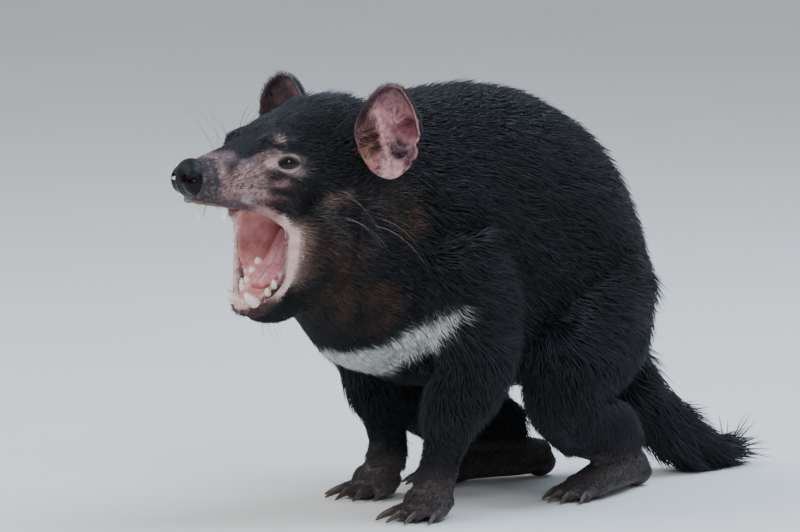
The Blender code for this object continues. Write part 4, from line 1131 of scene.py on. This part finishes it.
def ear_sheet(word, side, mirror):
    """The ear's front surface with its colours, and its ways: up, outwards and where it faces."""
    up = np.array((EAR_TIP - EAR_ROOT).normalized())
    r = np.concatenate([[0.0], np.repeat(np.arange(1, EAR_HOOPS + 1) / EAR_HOOPS, EAR_SPOKES)])
    a = np.concatenate([[0.0], np.tile(np.arange(EAR_SPOKES) * 2 * math.pi / EAR_SPOKES, EAR_HOOPS)])
    across, height = r * np.cos(a), r * np.sin(a)
    none = np.zeros(len(r))
    flat = np.stack([across, height, none], 1)
    low = np.clip((0.3 - height) / 1.2, 0, 1)
    turn = EAR_TURN_OUT[side] + EAR_TWIST * low
    facing = np.stack([np.sin(turn), -np.cos(turn), none], 1)
    facing = unit(facing - np.outer(facing @ up, up))
    outwards = np.stack([np.cos(turn), np.sin(turn), none], 1)

    # Two notches and a lobe in the rear edge, the cup, and the relief on it
    narrow = 1 - 0.16 * np.maximum(0, -height) - 0.1 * np.maximum(0, height) ** 2
    notch = 1 - 0.11 * bell((a - 6.08, 0.09)) * r**4
    notch -= 0.07 * bell((a - 5.62, 0.07)) * r**6
    notch += 0.035 * bell((a - 5.86, 0.12)) * r**4 + 0.02 * bell((a - 0.35, 0.5)) * r**3
    cup = EAR_CUP * (1 - r**2.4) * (1 - 0.45 * low)
    cup -= 0.004 * bell((height + 0.1, 0.18), (across - 0.15, 0.4))
    wrinkle = np.sin(24 * height + 5 * across + 2.2 * np.sin(5 * across))
    wrinkle = wrinkle * bell((height + 0.42, 0.26), (across - 0.36, 0.46))
    fold, ridge = hump(flat, *FOLD), hump(flat, *RIDGE)
    out = 0.0032 * fold - 0.0024 * hump(flat, *CREASE) + 0.003 * ridge + 0.0034 * hump(flat, *LOBE)
    out = out + 0.0017 * wrinkle + 0.0014 * hump(flat, *FRONT_FOLD)
    out -= 0.003 * around(flat, (0.44, 0.02, 0), (0.5, 0.28, 1)) + 0.002 * hump(flat, *LOWER_CREASE)
    out += 0.0011 * eased(0.9, 1.0, r) * eased(-0.6, 0.2, np.cos(a - 0.3))
    uneven = waves(flat, 0.42, 31) * 0.0011 * eased(0.1, 0.8, r)
    half_height = (EAR_TIP - EAR_ROOT).length / 2
    reach = across * narrow * notch * EAR_HALF_WIDTH
    points = np.array((EAR_ROOT + EAR_TIP) / 2) + outwards * reach[:, None]
    points += np.outer(height * half_height * (0.5 + 0.5 * notch), up)
    points -= facing * (cup - 0.006 * across**2 - out - uneven)[:, None]
    following = [(k + 1) % EAR_SPOKES for k in range(EAR_SPOKES)]
    faces = [(0, 1 + k, 1 + m) for k, m in enumerate(following)]
    for start in range(1, 1 + (EAR_HOOPS - 1) * EAR_SPOKES, EAR_SPOKES):
        wider = start + EAR_SPOKES
        faces += [(start + k, wider + k, wider + m, start + m) for k, m in enumerate(following)]
    ear = add_mesh("ear_" + word + "_skin", points, faces)
    ear.data.transform(mirror)
    ways = [mirror.to_3x3() @ Vector(way) for way in (up, outwards.mean(0), facing.mean(0))]
    ear.data.update()
    if sum((p.normal * p.area for p in ear.data.polygons), Vector()).dot(ways[2]) < 0:
        ear.data.flip_normals()

    tone = np.tile(np.array((0.4, 0.185, 0.195)), (len(r), 1))
    mottled = waves(flat, 0.35, 33)
    rim = eased(0.7, 1.0, r)
    for region, colour in (
        (0.45 + 0.5 * mottled, (0.56, 0.28, 0.285)),
        (eased(0.3, 0.95, height) * 0.75, (0.25, 0.125, 0.14)),
        (around(flat, (0.44, 0.08, 0), (0.62, 0.36, 1)) * (0.8 + 0.2 * mottled), (0.22, 0.048, 0.07)),
        (ridge * 0.85, (0.76, 0.44, 0.4)),
        (fold * 0.9, (0.66, 0.4, 0.4)),
        (around(flat, (0.44, -0.42, 0), (0.64, 0.34, 1)) * (0.62 + 0.38 * wrinkle), (0.2, 0.115, 0.16)),
        (around(flat, (0.1, -0.84, 0), (0.62, 0.3, 1)) * 0.9, (0.76, 0.46, 0.43)),
        # An orange patch low on the front edge: painted light shining through the thin ear.
        (around(flat, (-0.74, -0.46, 0), (0.5, 0.5, 1)) * (0.75 + 0.25 * mottled) * 0.75, (0.66, 0.31, 0.18)),
        (rim * eased(0.2, 0.9, np.sin(a - 0.15)) * 0.45, (0.15, 0.07, 0.082)),
        (rim * eased(0.3, 0.9, np.cos(a - 2.8)) * 0.85, (0.085, 0.044, 0.05)),
        (eased(-0.1, 0.4, across) * (0.9 if side < 0 else 0), (0.04, 0.026, 0.03)),
    ):
        tone = blend(tone, np.clip(region, 0, 1), colour)
    store(ear, "tone", tone, "FLOAT_COLOR")
    store(ear, "across", across)
    store(ear, "height", height)
    return ear, ways


def ear_hair_width(length):
    return EAR_HAIR_WIDTH + 0 * length


def build_ear(word, side):
    mirror = HEAD @ Matrix.Diagonal((side, 1, 1, 1))
    ear, ways = ear_sheet(word, side, mirror)
    up_way, out_way, face_way = (np.array(way.normalized()) for way in ways)
    modify(ear, "SOLIDIFY", thickness=EAR_THICKNESS, offset=-1.0, use_rim=True)
    modify(ear, "TRIANGULATE")
    found = ear.data.attributes
    across, height = (read(found[name].data, "value", 1) for name in ("across", "height"))
    tone = read(found["tone"].data, "color", 4)[:, :3]
    for name in ("tone", "across", "height"):
        found.remove(found[name])
    rear = eased(-0.15, 0.25, -(normals_of(ear) @ face_way))
    medial = eased(0.4, 0.85, -across) * eased(-0.3, 0.1, height)
    tone = blend(tone, rear, blend(np.array((0.06, 0.036, 0.04)), medial, (0.2, 0.1, 0.115)))
    store(ear, "tone", tone, "FLOAT_COLOR")
    finished(ear, EAR_FINISH)
    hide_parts("ear_" + word)

    # Hair: a dark coat behind, strands over the front edge and the upper rim, a few pale ones across the cup
    cover = Cover(len(across))
    lay = cover.lay
    rim = eased(0.8, 0.97, np.hypot(across, height))
    here = np.stack([across, height, across * 0], 1)
    fore = 1 - rear
    cover.flow[:] = up_way + 0.35 * out_way
    cover.length[:] = 0.005
    cover.rise[:] = 0.25
    cover.amount = rear * (1 - 0.55 * eased(-0.2, 0.9, height)) * (1 - 0.6 * rim) * (1 - 0.85 * medial)
    front_edge = fore * eased(0.7, 0.97, -across + 0.25 * np.abs(height - 0.1)) * (height > -0.5)
    lay(front_edge, amount=0.42, length=0.0075, flow=up_way + 0.9 * out_way, tone=(0.022, 0.014, 0.016))
    lay(fore * rim * eased(0.1, 0.7, height), amount=0.4, length=0.0036, tone=(0.05, 0.026, 0.03))
    lay(fore * rim * eased(0.2, 0.7, across) * (height < 0.2), amount=0.35, length=0.003)
    streaky = (waves(here, 0.1, 35) > 0.2).astype(float)
    strand_tone = blend(np.array((0.36, 0.175, 0.125)), streaky, (0.026, 0.013, 0.013))
    strands = fore * around(here, (-0.74, -0.24, 0), (0.34, 0.46, 1))
    lay(strands, amount=0.5, length=0.0115, rise=0.12, flow=0.2 * up_way + out_way, tone=strand_tone)
    lobe_hair = fore * around(here, (0.26, -0.46, 0), (0.34, 0.22, 1))
    lay(lobe_hair, amount=0.45, length=0.005, flow=0.4 * up_way + out_way, tone=BLACK)
    cover.amount = np.maximum(cover.amount, fore * (1 - rim) * 0.05)
    unwrap(ear)
    roots = roots_on(ear, cover, EAR_HAIRS, 60 + side)
    tufts("ear_hair_" + word, roots, 70 + side, ear_hair_width, COAT_FINISH)


# Eyes: a glossy ball with a raised cornea, a dark iris and two pale lids with a slit between them


# Lids: rings from the wet rim, over a soft roll, down under the skin, by spread, distance from the eye's
# middle, dryness, wetness and colour
LID_RINGS = (
    (0.9, 0.0061, 0.0, 0.9, (0.012, 0.007, 0.007)),
    (0.95, 0.00672, 0.1, 0.9, (0.03, 0.014, 0.013)),
    (1.0, 0.00728, 0.3, 0.6, (0.045, 0.02, 0.018)),
    (1.09, 0.00768, 0.8, 0.3, (0.3, 0.2, 0.185)),
    (1.2, 0.00778, 1.0, 0.1, (0.5, 0.35, 0.33)),
    (1.36, 0.0076, 1.0, 0.1, (0.2, 0.138, 0.132)),
    (1.58, 0.0072, 1.0, 0.1, (0.05, 0.038, 0.042)),
    (1.85, 0.0064, 1.0, 0.1, (0.02, 0.018, 0.022)),
)
LID_POINTS = 72


def build_eye(word, side):
    place = eye_frame(side)
    eye = ball("eye_" + word + "_ball", (0, 0, 0), (EYE_RADIUS,) * 3, place, 72)
    points = into(place, points_of(eye))
    angle = np.degrees(np.arccos(np.clip(points[:, 2] / EYE_RADIUS, -1, 1)))
    points *= (1 + 0.055 * faded(0, 42, angle))[:, None]
    set_points(eye, out_of(place, points))
    around_axis = np.arctan2(points[:, 1], points[:, 0])
    streak = 0.75 + 0.25 * np.sin(around_axis * 29 + 2 * np.sin(around_axis * 7))
    tone = np.tile(np.array((0.022, 0.01, 0.007)), (len(points), 1))
    tone = blend(tone, faded(44, 50, angle), np.array((0.018, 0.0075, 0.0045)) * streak[:, None])
    tone = blend(tone, faded(24, 31, angle), (0.002, 0.002, 0.003))
    store(eye, "tone", tone, "FLOAT_COLOR")
    finished(eye, EYE_FINISH)
    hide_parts("eye_" + word)
    build_lids(word, side, place)


def build_lids(word, side, place):
    vertices, tones, faces = [], [], []
    for spread, radius, dry, _, tone in LID_RINGS:
        for k in range(LID_POINTS):
            turn = 2 * math.pi * k / LID_POINTS
            wide = math.cos(turn) * (0.85 + 0.12 * (spread - 1)) * spread * 0.98
            high = math.copysign(abs(math.sin(turn)) ** 1.45, math.sin(turn))
            high *= (0.42 if turn < math.pi else 0.36) + 0.32 * (spread - 0.9)
            high *= spread
            depth = math.sqrt(max(0.02, 1 - min(0.98, wide * wide + high * high)))
            crease = 0.00018 * math.sin(spread * 34 + 1.5 * math.sin(turn * 2)) * dry * (spread > 1.2)
            vertices.append(Vector((wide, high, depth)).normalized() * (radius + crease))
            front = max(0.0, -side * math.cos(turn)) ** 3
            behind = 1 - 0.6 * max(0.0, side * math.cos(turn)) ** 2 - 0.45 * max(0.0, math.sin(turn)) ** 2
            tones.append([a * behind * (1 - front * dry) + b * front * dry for a, b in zip(tone, PALE_PINK)])
    for start in range(0, (len(LID_RINGS) - 1) * LID_POINTS, LID_POINTS):
        for k in range(LID_POINTS):
            m = (k + 1) % LID_POINTS
            faces.append((start + k, start + m, start + LID_POINTS + m, start + LID_POINTS + k))
    lids = add_mesh("lids_" + word, vertices, faces)
    store(lids, "tone", tones, "FLOAT_COLOR")
    store(lids, "wet", np.repeat([ring[3] for ring in LID_RINGS], LID_POINTS))
    store(lids, "mottle", np.full(len(tones), 0.1))
    lids.data.transform(place)
    lids.data.update()
    if lids.data.polygons[LID_POINTS * 4].normal.dot(place.to_3x3() @ Vector((0, 0, 1))) < 0:
        lids.data.flip_normals()
    modify(lids, "SUBSURF", levels=1, render_levels=1)
    finished(lids, SKIN_FINISH)


# Nose: a wet, pebbled pad with hooked nostrils and a groove down its middle


def build_nose():
    nose = join("nose_pad", [ball("pad", centre, sizes, HEAD, 32) for centre, sizes in NOSE_PAD])
    fuse(nose, 0.0005, 14)
    for side in (-1, 1):
        for centre, sizes in NOSTRIL:
            combine(nose, ball("nostril", sided(side, centre), sizes, HEAD), "DIFFERENCE")
    fuse(nose, 0.00045, 3)
    points, normals = points_of(nose), normals_of(nose)
    h = into(HEAD, points)
    groove = bell((h[:, 0], 0.0007)) * faded(0.205, 0.212, h[:, 2]) * 0.0005
    set_points(nose, points - normals * groove[:, None])
    h[:, 0] = np.abs(h[:, 0])
    deep = around(h, *mm((6.2, 6.3, 209), (4.2, 4.2, 3.6)))
    deep = np.maximum(deep, around(h, *mm((10, 8, 207.5), (3.4, 3, 2))))
    tone = np.tile(np.array((0.003, 0.003, 0.0042)), (len(points), 1))
    tone = blend(tone, deep, (0.06, 0.012, 0.011))
    tone = blend(tone, eased(0.016, 0.02, h[:, 1]) * 0.5, (0.07, 0.05, 0.055))
    store(nose, "tone", tone, "FLOAT_COLOR")
    finished(nose, NOSE_FINISH)
    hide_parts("nose")


# Teeth and claws: one horn of each form, drawn up ring by ring, and a copy of it at each place


MOLAR_CUSPS = ((-0.0017, 0.8), (0.0019, 0.74))
TOOTH_ROOT = (0.78, 0.66, 0.52)
TOOTH_WHITE = (0.93, 0.91, 0.86)
# Each ring of a horn: how far it is drawn up, moved over and narrowed
HORNS = {
    "canine": (12, (0.18, 0, 1.04), (0.2, 0, 0.99), (0.2, 0.01, 0.93), (0.18, 0.03, 0.82), (0.14, 0.05, 0.66),
               (0.08, 0.04, 0.42)),
    "incisor": (10, (0.3, 0, 1.1), (0.35, 0, 1), (0.25, 0, 0.86), (0.08, 0, 0.6)),
    "molar": (12, (0.25, 0, 1.05), (0.3, 0, 1), (0.18, 0.04, 0.78), (0.14, 0.06, 0.5), (0.1, 0.03, 0.5)),
    "claw": (10, (0.2, 0.03, 1), (0.25, 0.06, 0.85), (0.25, 0.02, 0.75), (0.2, -0.05, 0.6),
             (0.1, -0.04, 0.4)),
}


def horn(name, sides, *rings):
    """A unit horn on Z, drawn up ring by ring."""
    made = primitive(bpy.ops.mesh.primitive_circle_add, name, vertices=sides, radius=0.5, fill_type="NGON")
    bpy.ops.object.mode_set(mode="EDIT")
    bpy.ops.mesh.select_all(action="SELECT")
    at = Vector((0, 0, 0))
    for rise, over, narrower in rings:
        step = Vector((over, 0, rise))
        at += step
        bpy.ops.mesh.extrude_region_move(TRANSFORM_OT_translate={"value": step})
        bpy.ops.transform.resize(value=(narrower, narrower, 1), center_override=at)
    bpy.ops.object.mode_set(mode="OBJECT")
    modify(made, "SUBSURF", levels=1, render_levels=1)
    return outward(made)


def set_horn(form, root, tip, width, depth, frame, lean):
    """A copy of a horn from root to tip; lean is the way that it moves over."""
    root, tip, lean = Vector(root), Vector(tip), Vector(lean)
    along = (tip - root).normalized()
    lean = (lean - along * lean.dot(along)).normalized()
    turn = Matrix((lean, along.cross(lean), along)).transposed().to_4x4()
    size = Matrix.Diagonal((depth, width, (tip - root).length, 1))
    return copy_of(form, "horn", frame @ Matrix.Translation(root) @ turn @ size)


def build_teeth(forms):
    dice = np.random.default_rng(7)
    rows_of_teeth = (("teeth_upper", UPPER_TEETH, "head"), ("teeth_lower", LOWER_TEETH, "lower_jaw"))
    for name, rows, node_name in rows_of_teeth:
        made = []
        for root, tip, width, depth, form in rows:
            for side in (-1, 1):
                wobble = dice.uniform(-0.0003, 0.0003, 3)
                start = Vector(sided(side, root))
                end = Vector(sided(side, tip)) + Vector(wobble)
                lean = (0, 1, 0.2) if form == "canine" else (side, 0.3, 0)
                made.append(set_horn(forms[form], start, end, width, depth, HEAD, lean))
                if form == "molar":
                    for reach, share in MOLAR_CUSPS:
                        over = Vector((0, reach, 0)) * (width / 0.006)
                        low, high = start + over, start.lerp(end, share) + over
                        made.append(set_horn(forms[form], low, high, width * 0.75, depth * 0.85, HEAD, lean))
        teeth = join(name, made)
        up = into(HEAD, points_of(teeth))[:, 2]
        clean = eased(0.131, 0.1345, up) if name == "teeth_lower" else faded(0.193, 0.1965, up)
        store(teeth, "tone", blend(np.array(TOOTH_ROOT), clean, TOOTH_WHITE), "FLOAT_COLOR")
        finished(teeth, TEETH_FINISH)
        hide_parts(node_name)


def build_claws(form):
    for word, side in (("left", 1), ("right", -1)):
        for foot, toes, long, right_at in (
            ("forepaw_", FORE_TOES, FORE_CLAW, RIGHT_FOREPAW_AT),
            ("hindfoot_", HIND_TOES, HIND_CLAW, RIGHT_FOOT_AT),
        ):
            made = []
            for *ends, thick in toes:
                root, tip = (Vector(sided(side, p)) + (Vector() if side > 0 else right_at) for p in ends)
                ahead = Vector((tip.x - root.x, tip.y - root.y, 0)).normalized()
                start = tip + Vector((0, 0, thick * 0.25)) + ahead * thick * 0.2
                end = tip + ahead * (long + thick * 0.8)
                end.z = CLAW_TIP_HEIGHT + 0.0004
                made.append(set_horn(form, start, end, thick * 0.62, thick * 0.95, BODY, (0, 0, 1)))
            finished(join("claws_" + foot + word, made), CLAW_FINISH)


def build_horns():
    forms = {name: horn(name, *rings) for name, rings in HORNS.items()}
    build_teeth(forms)
    build_claws(forms["claw"])
    for form in forms.values():
        bpy.data.objects.remove(form)


def build_tongue():
    tongue = limb("tongue_body", TONGUE_LINE, HEAD, sides=28, steps=8)
    fuse(tongue, 0.0009, 5)
    points, normals = points_of(tongue), normals_of(tongue)
    h = into(HEAD, points)
    groove = 0.0011 * bell((h[:, 0], 0.0016)) * eased(0.0, 0.5, normals[:, 2])
    lumps = waves(h, 0.007, 44) * 0.0004
    set_points(tongue, points - normals * (groove + lumps)[:, None])
    # The back of the tongue is painted darker and redder: painted shade where it goes down into the throat.
    tone = blend(np.array((0.64, 0.27, 0.285)), eased(0.072, 0.09, h[:, 1]), (0.52, 0.17, 0.2))
    store(tongue, "tone", tone, "FLOAT_COLOR")
    finished(tongue, TONGUE_FINISH)
    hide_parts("tongue")


# Whiskers: thin bent bristles that stand in the skin


WHISKER_STEPS = 7
WHISKER_WIDTH = 0.0003
# Rows of whiskers on each side: colour and count, first root and step in the head's frame, first way and how
# much further back each next one points, droop, length and step, bend
WHISKERS = (
    ("dark", 3, (0.005, 0.02, 0.26), (0.003, 0.006, 0), (0.45, -0.25, 1), 0,
     (0.2, -0.5, 0.1), 0.034, -0.003, 0.5),
    ("dark", 4, (0.024, 0.0545, 0.26), (0.0015, 0.002, 0), (0.25, 0.25, 1), 0.2,
     (0, 0.8, -0.1), 0.022, 0.004, 0.5),
    ("pale", 6, (0.08, 0.074, 0.199), (0, 0.004, -0.004), (0.75, 0.75, 0.15), 0,
     (0, 0.15, -1), 0.026, 0.004, 0.75),
    ("dark", 4, (0.08, 0.076, 0.128), (0, 0.005, 0), (0.4, 0.1, -1), 0,
     (0, 0.4, 0), 0.018, 0.003, 0.4),
    ("dark", 3, (0.006, 0.062, 0.08), (0.005, 0.006, 0), (0.15, 0.05, -1), 0,
     (0, 0.5, 0), 0.019, 0, 0.5),
)


def bristle(root, way, droop, length, bend):
    """Rings of three points along a bent line, closed at both ends."""
    steps = WHISKER_STEPS
    side = way.cross(Vector((0.3, 0.2, 1))).normalized()
    up = side.cross(way).normalized()
    points = []
    for k in range(steps + 1):
        t = k / steps
        centre = root + way * (length * t) + droop * (length * bend * t * t)
        centre = centre - way * (length * 0.25 * bend * t * t)
        half = WHISKER_WIDTH / 2 * (1 - 0.85 * k / steps)
        if k < steps:
            for turn in (0, 2.1, 4.2):
                points.append(centre + side * math.cos(turn) * half + up * math.sin(turn) * half)
    points.append(centre)
    faces = [(0, 2, 1)]
    for k in range(0, (steps - 1) * 3, 3):
        faces += [(k + m, k + (m + 1) % 3, k + (m + 1) % 3 + 3, k + m + 3) for m in range(3)]
    last = (steps - 1) * 3
    faces += [(last + m, last + (m + 1) % 3, len(points) - 1) for m in range(3)]
    return points, faces


def build_whiskers():
    tree = tree_of(SKIN)
    dice = np.random.default_rng(91)
    rows = []
    for side in (-1, 1):
        for row, z in enumerate((0.1995, 0.2035, 0.2075, 0.2115)):
            for k in range(6):
                at = (0.03, 0.018 + k * 0.0048 + 0.001 * row, z)
                length = 0.02 + 0.0045 * k + dice.uniform(-0.004, 0.004)
                rows.append(("dark", side, at, (0.95, 0.35, 0.15 + 0.16 * row), (0, 0.6, -0.2), length, 0.45))
        for colour, count, first, step, way, turning, droop, length, longer, bend in WHISKERS:
            for k in range(count):
                at = [a + b * k for a, b in zip(first, step)]
                aim = (way[0], way[1] + turning * k, way[2])
                rows.append((colour, side, at, aim, droop, length + longer * k, bend))
    turn = HEAD.to_3x3().normalized()
    for colour, finish in (("dark", DARK_BRISTLE), ("pale", PALE_BRISTLE)):
        vertices, faces = [], []
        for _, side, at, way, droop, length, bend in (row for row in rows if row[0] == colour):
            wobble = Vector(dice.normal(size=3) * 0.1)
            way = turn @ (Vector(sided(side, way)).normalized() + wobble).normalized()
            jitter = Vector(dice.uniform(-0.001, 0.001, 3))
            root = tree.find_nearest(HEAD @ (Vector(sided(side, at)) + jitter))[0] - way * 0.0012
            new_points, new_faces = bristle(root, way, turn @ Vector(sided(side, droop)), length, bend)
            faces += [tuple(k + len(vertices) for k in face) for face in new_faces]
            vertices += new_points
        finished(outward(add_mesh("whiskers_" + colour, vertices, faces)), finish)


for word, side in (("left", 1), ("right", -1)):
    build_ear(word, side)
    build_eye(word, side)
build_nose()
build_horns()
build_tongue()
build_whiskers()

# Floor, light and camera

# Lamps: place, width, power in watts, colour
LAMPS = (
    ("key", (-1.0, -1.3, 1.9), 1.3, 26, (1.0, 0.99, 0.97)),
    ("fill", (1.9, -1.5, 1.7), 1.0, 26, (0.93, 0.97, 1.0)),
    ("sky", (0.6, 0.9, 2.3), 1.8, 62, (0.62, 0.79, 1.0)),
)
LIT_POINT = Vector((0, 0, 0.12))
FLOOR_WIDTH = 16
ROOM_LIGHT = 0.58


def build_stage():
    floor = primitive(bpy.ops.mesh.primitive_plane_add, "floor", size=FLOOR_WIDTH)
    made = Finish("pale floor", Roughness=0.8)
    shade = made.ramped(made.noise(3.0), 0.3, 0.7)
    made.link(made.mixed(shade, (0.8, 0.8, 0.79), (0.84, 0.84, 0.83)), "Base Color")
    floor.data.materials.append(made.material)
    for name, at, size, power, colour in LAMPS:
        lamp = bpy.data.lights.new(name, "AREA")
        lamp.shape = "DISK"
        lamp.size = size
        lamp.energy = power
        lamp.color = colour
        holder = placed(name, lamp)
        holder.location = at
        holder.rotation_euler = (LIT_POINT - Vector(at)).to_track_quat("-Z", "Y").to_euler()
    world = bpy.data.worlds.new("soft room")
    world.use_nodes = True
    world.node_tree.nodes["Background"].inputs["Color"].default_value = (0.88, 0.92, 0.98, 1)
    world.node_tree.nodes["Background"].inputs["Strength"].default_value = ROOM_LIGHT
    bpy.context.scene.world = world


# The photo's camera: its angles, its distance, its scale and width in points, and where the left forefoot's
# sole lies from the middle of the picture
CAMERA_TURN = math.radians(45)
CAMERA_LIFT = math.radians(6)
CAMERA_AWAY = 3.5
POINTS_A_METRE = 1680
PICTURE_WIDTH = 800
SENSOR_WIDTH = 36
SOLE = (0.042, 0, 0)
SOLE_RIGHT = 30
SOLE_DOWN = 252


def place_camera():
    """The photo's view: 45 degrees to the animal's left of its front, 6 above the floor."""
    flat = math.cos(CAMERA_LIFT)
    back = Vector((math.sin(CAMERA_TURN) * flat, -math.cos(CAMERA_TURN) * flat, math.sin(CAMERA_LIFT)))
    right = Vector((math.cos(CAMERA_TURN), math.sin(CAMERA_TURN), 0))
    up = back.cross(right)
    sole = Vector(SOLE) + SHIFT
    centre = sole - right * (SOLE_RIGHT / POINTS_A_METRE) + up * (SOLE_DOWN / POINTS_A_METRE)
    data = bpy.data.cameras.new("photo")
    data.sensor_width = SENSOR_WIDTH
    data.lens = POINTS_A_METRE * SENSOR_WIDTH * CAMERA_AWAY / PICTURE_WIDTH
    camera = placed("photo", data)
    camera.location = centre + back * CAMERA_AWAY
    camera.rotation_mode = "QUATERNION"
    camera.rotation_quaternion = (-back).to_track_quat("-Z", "Y")
    bpy.context.scene.camera = camera


build_stage()
place_camera()
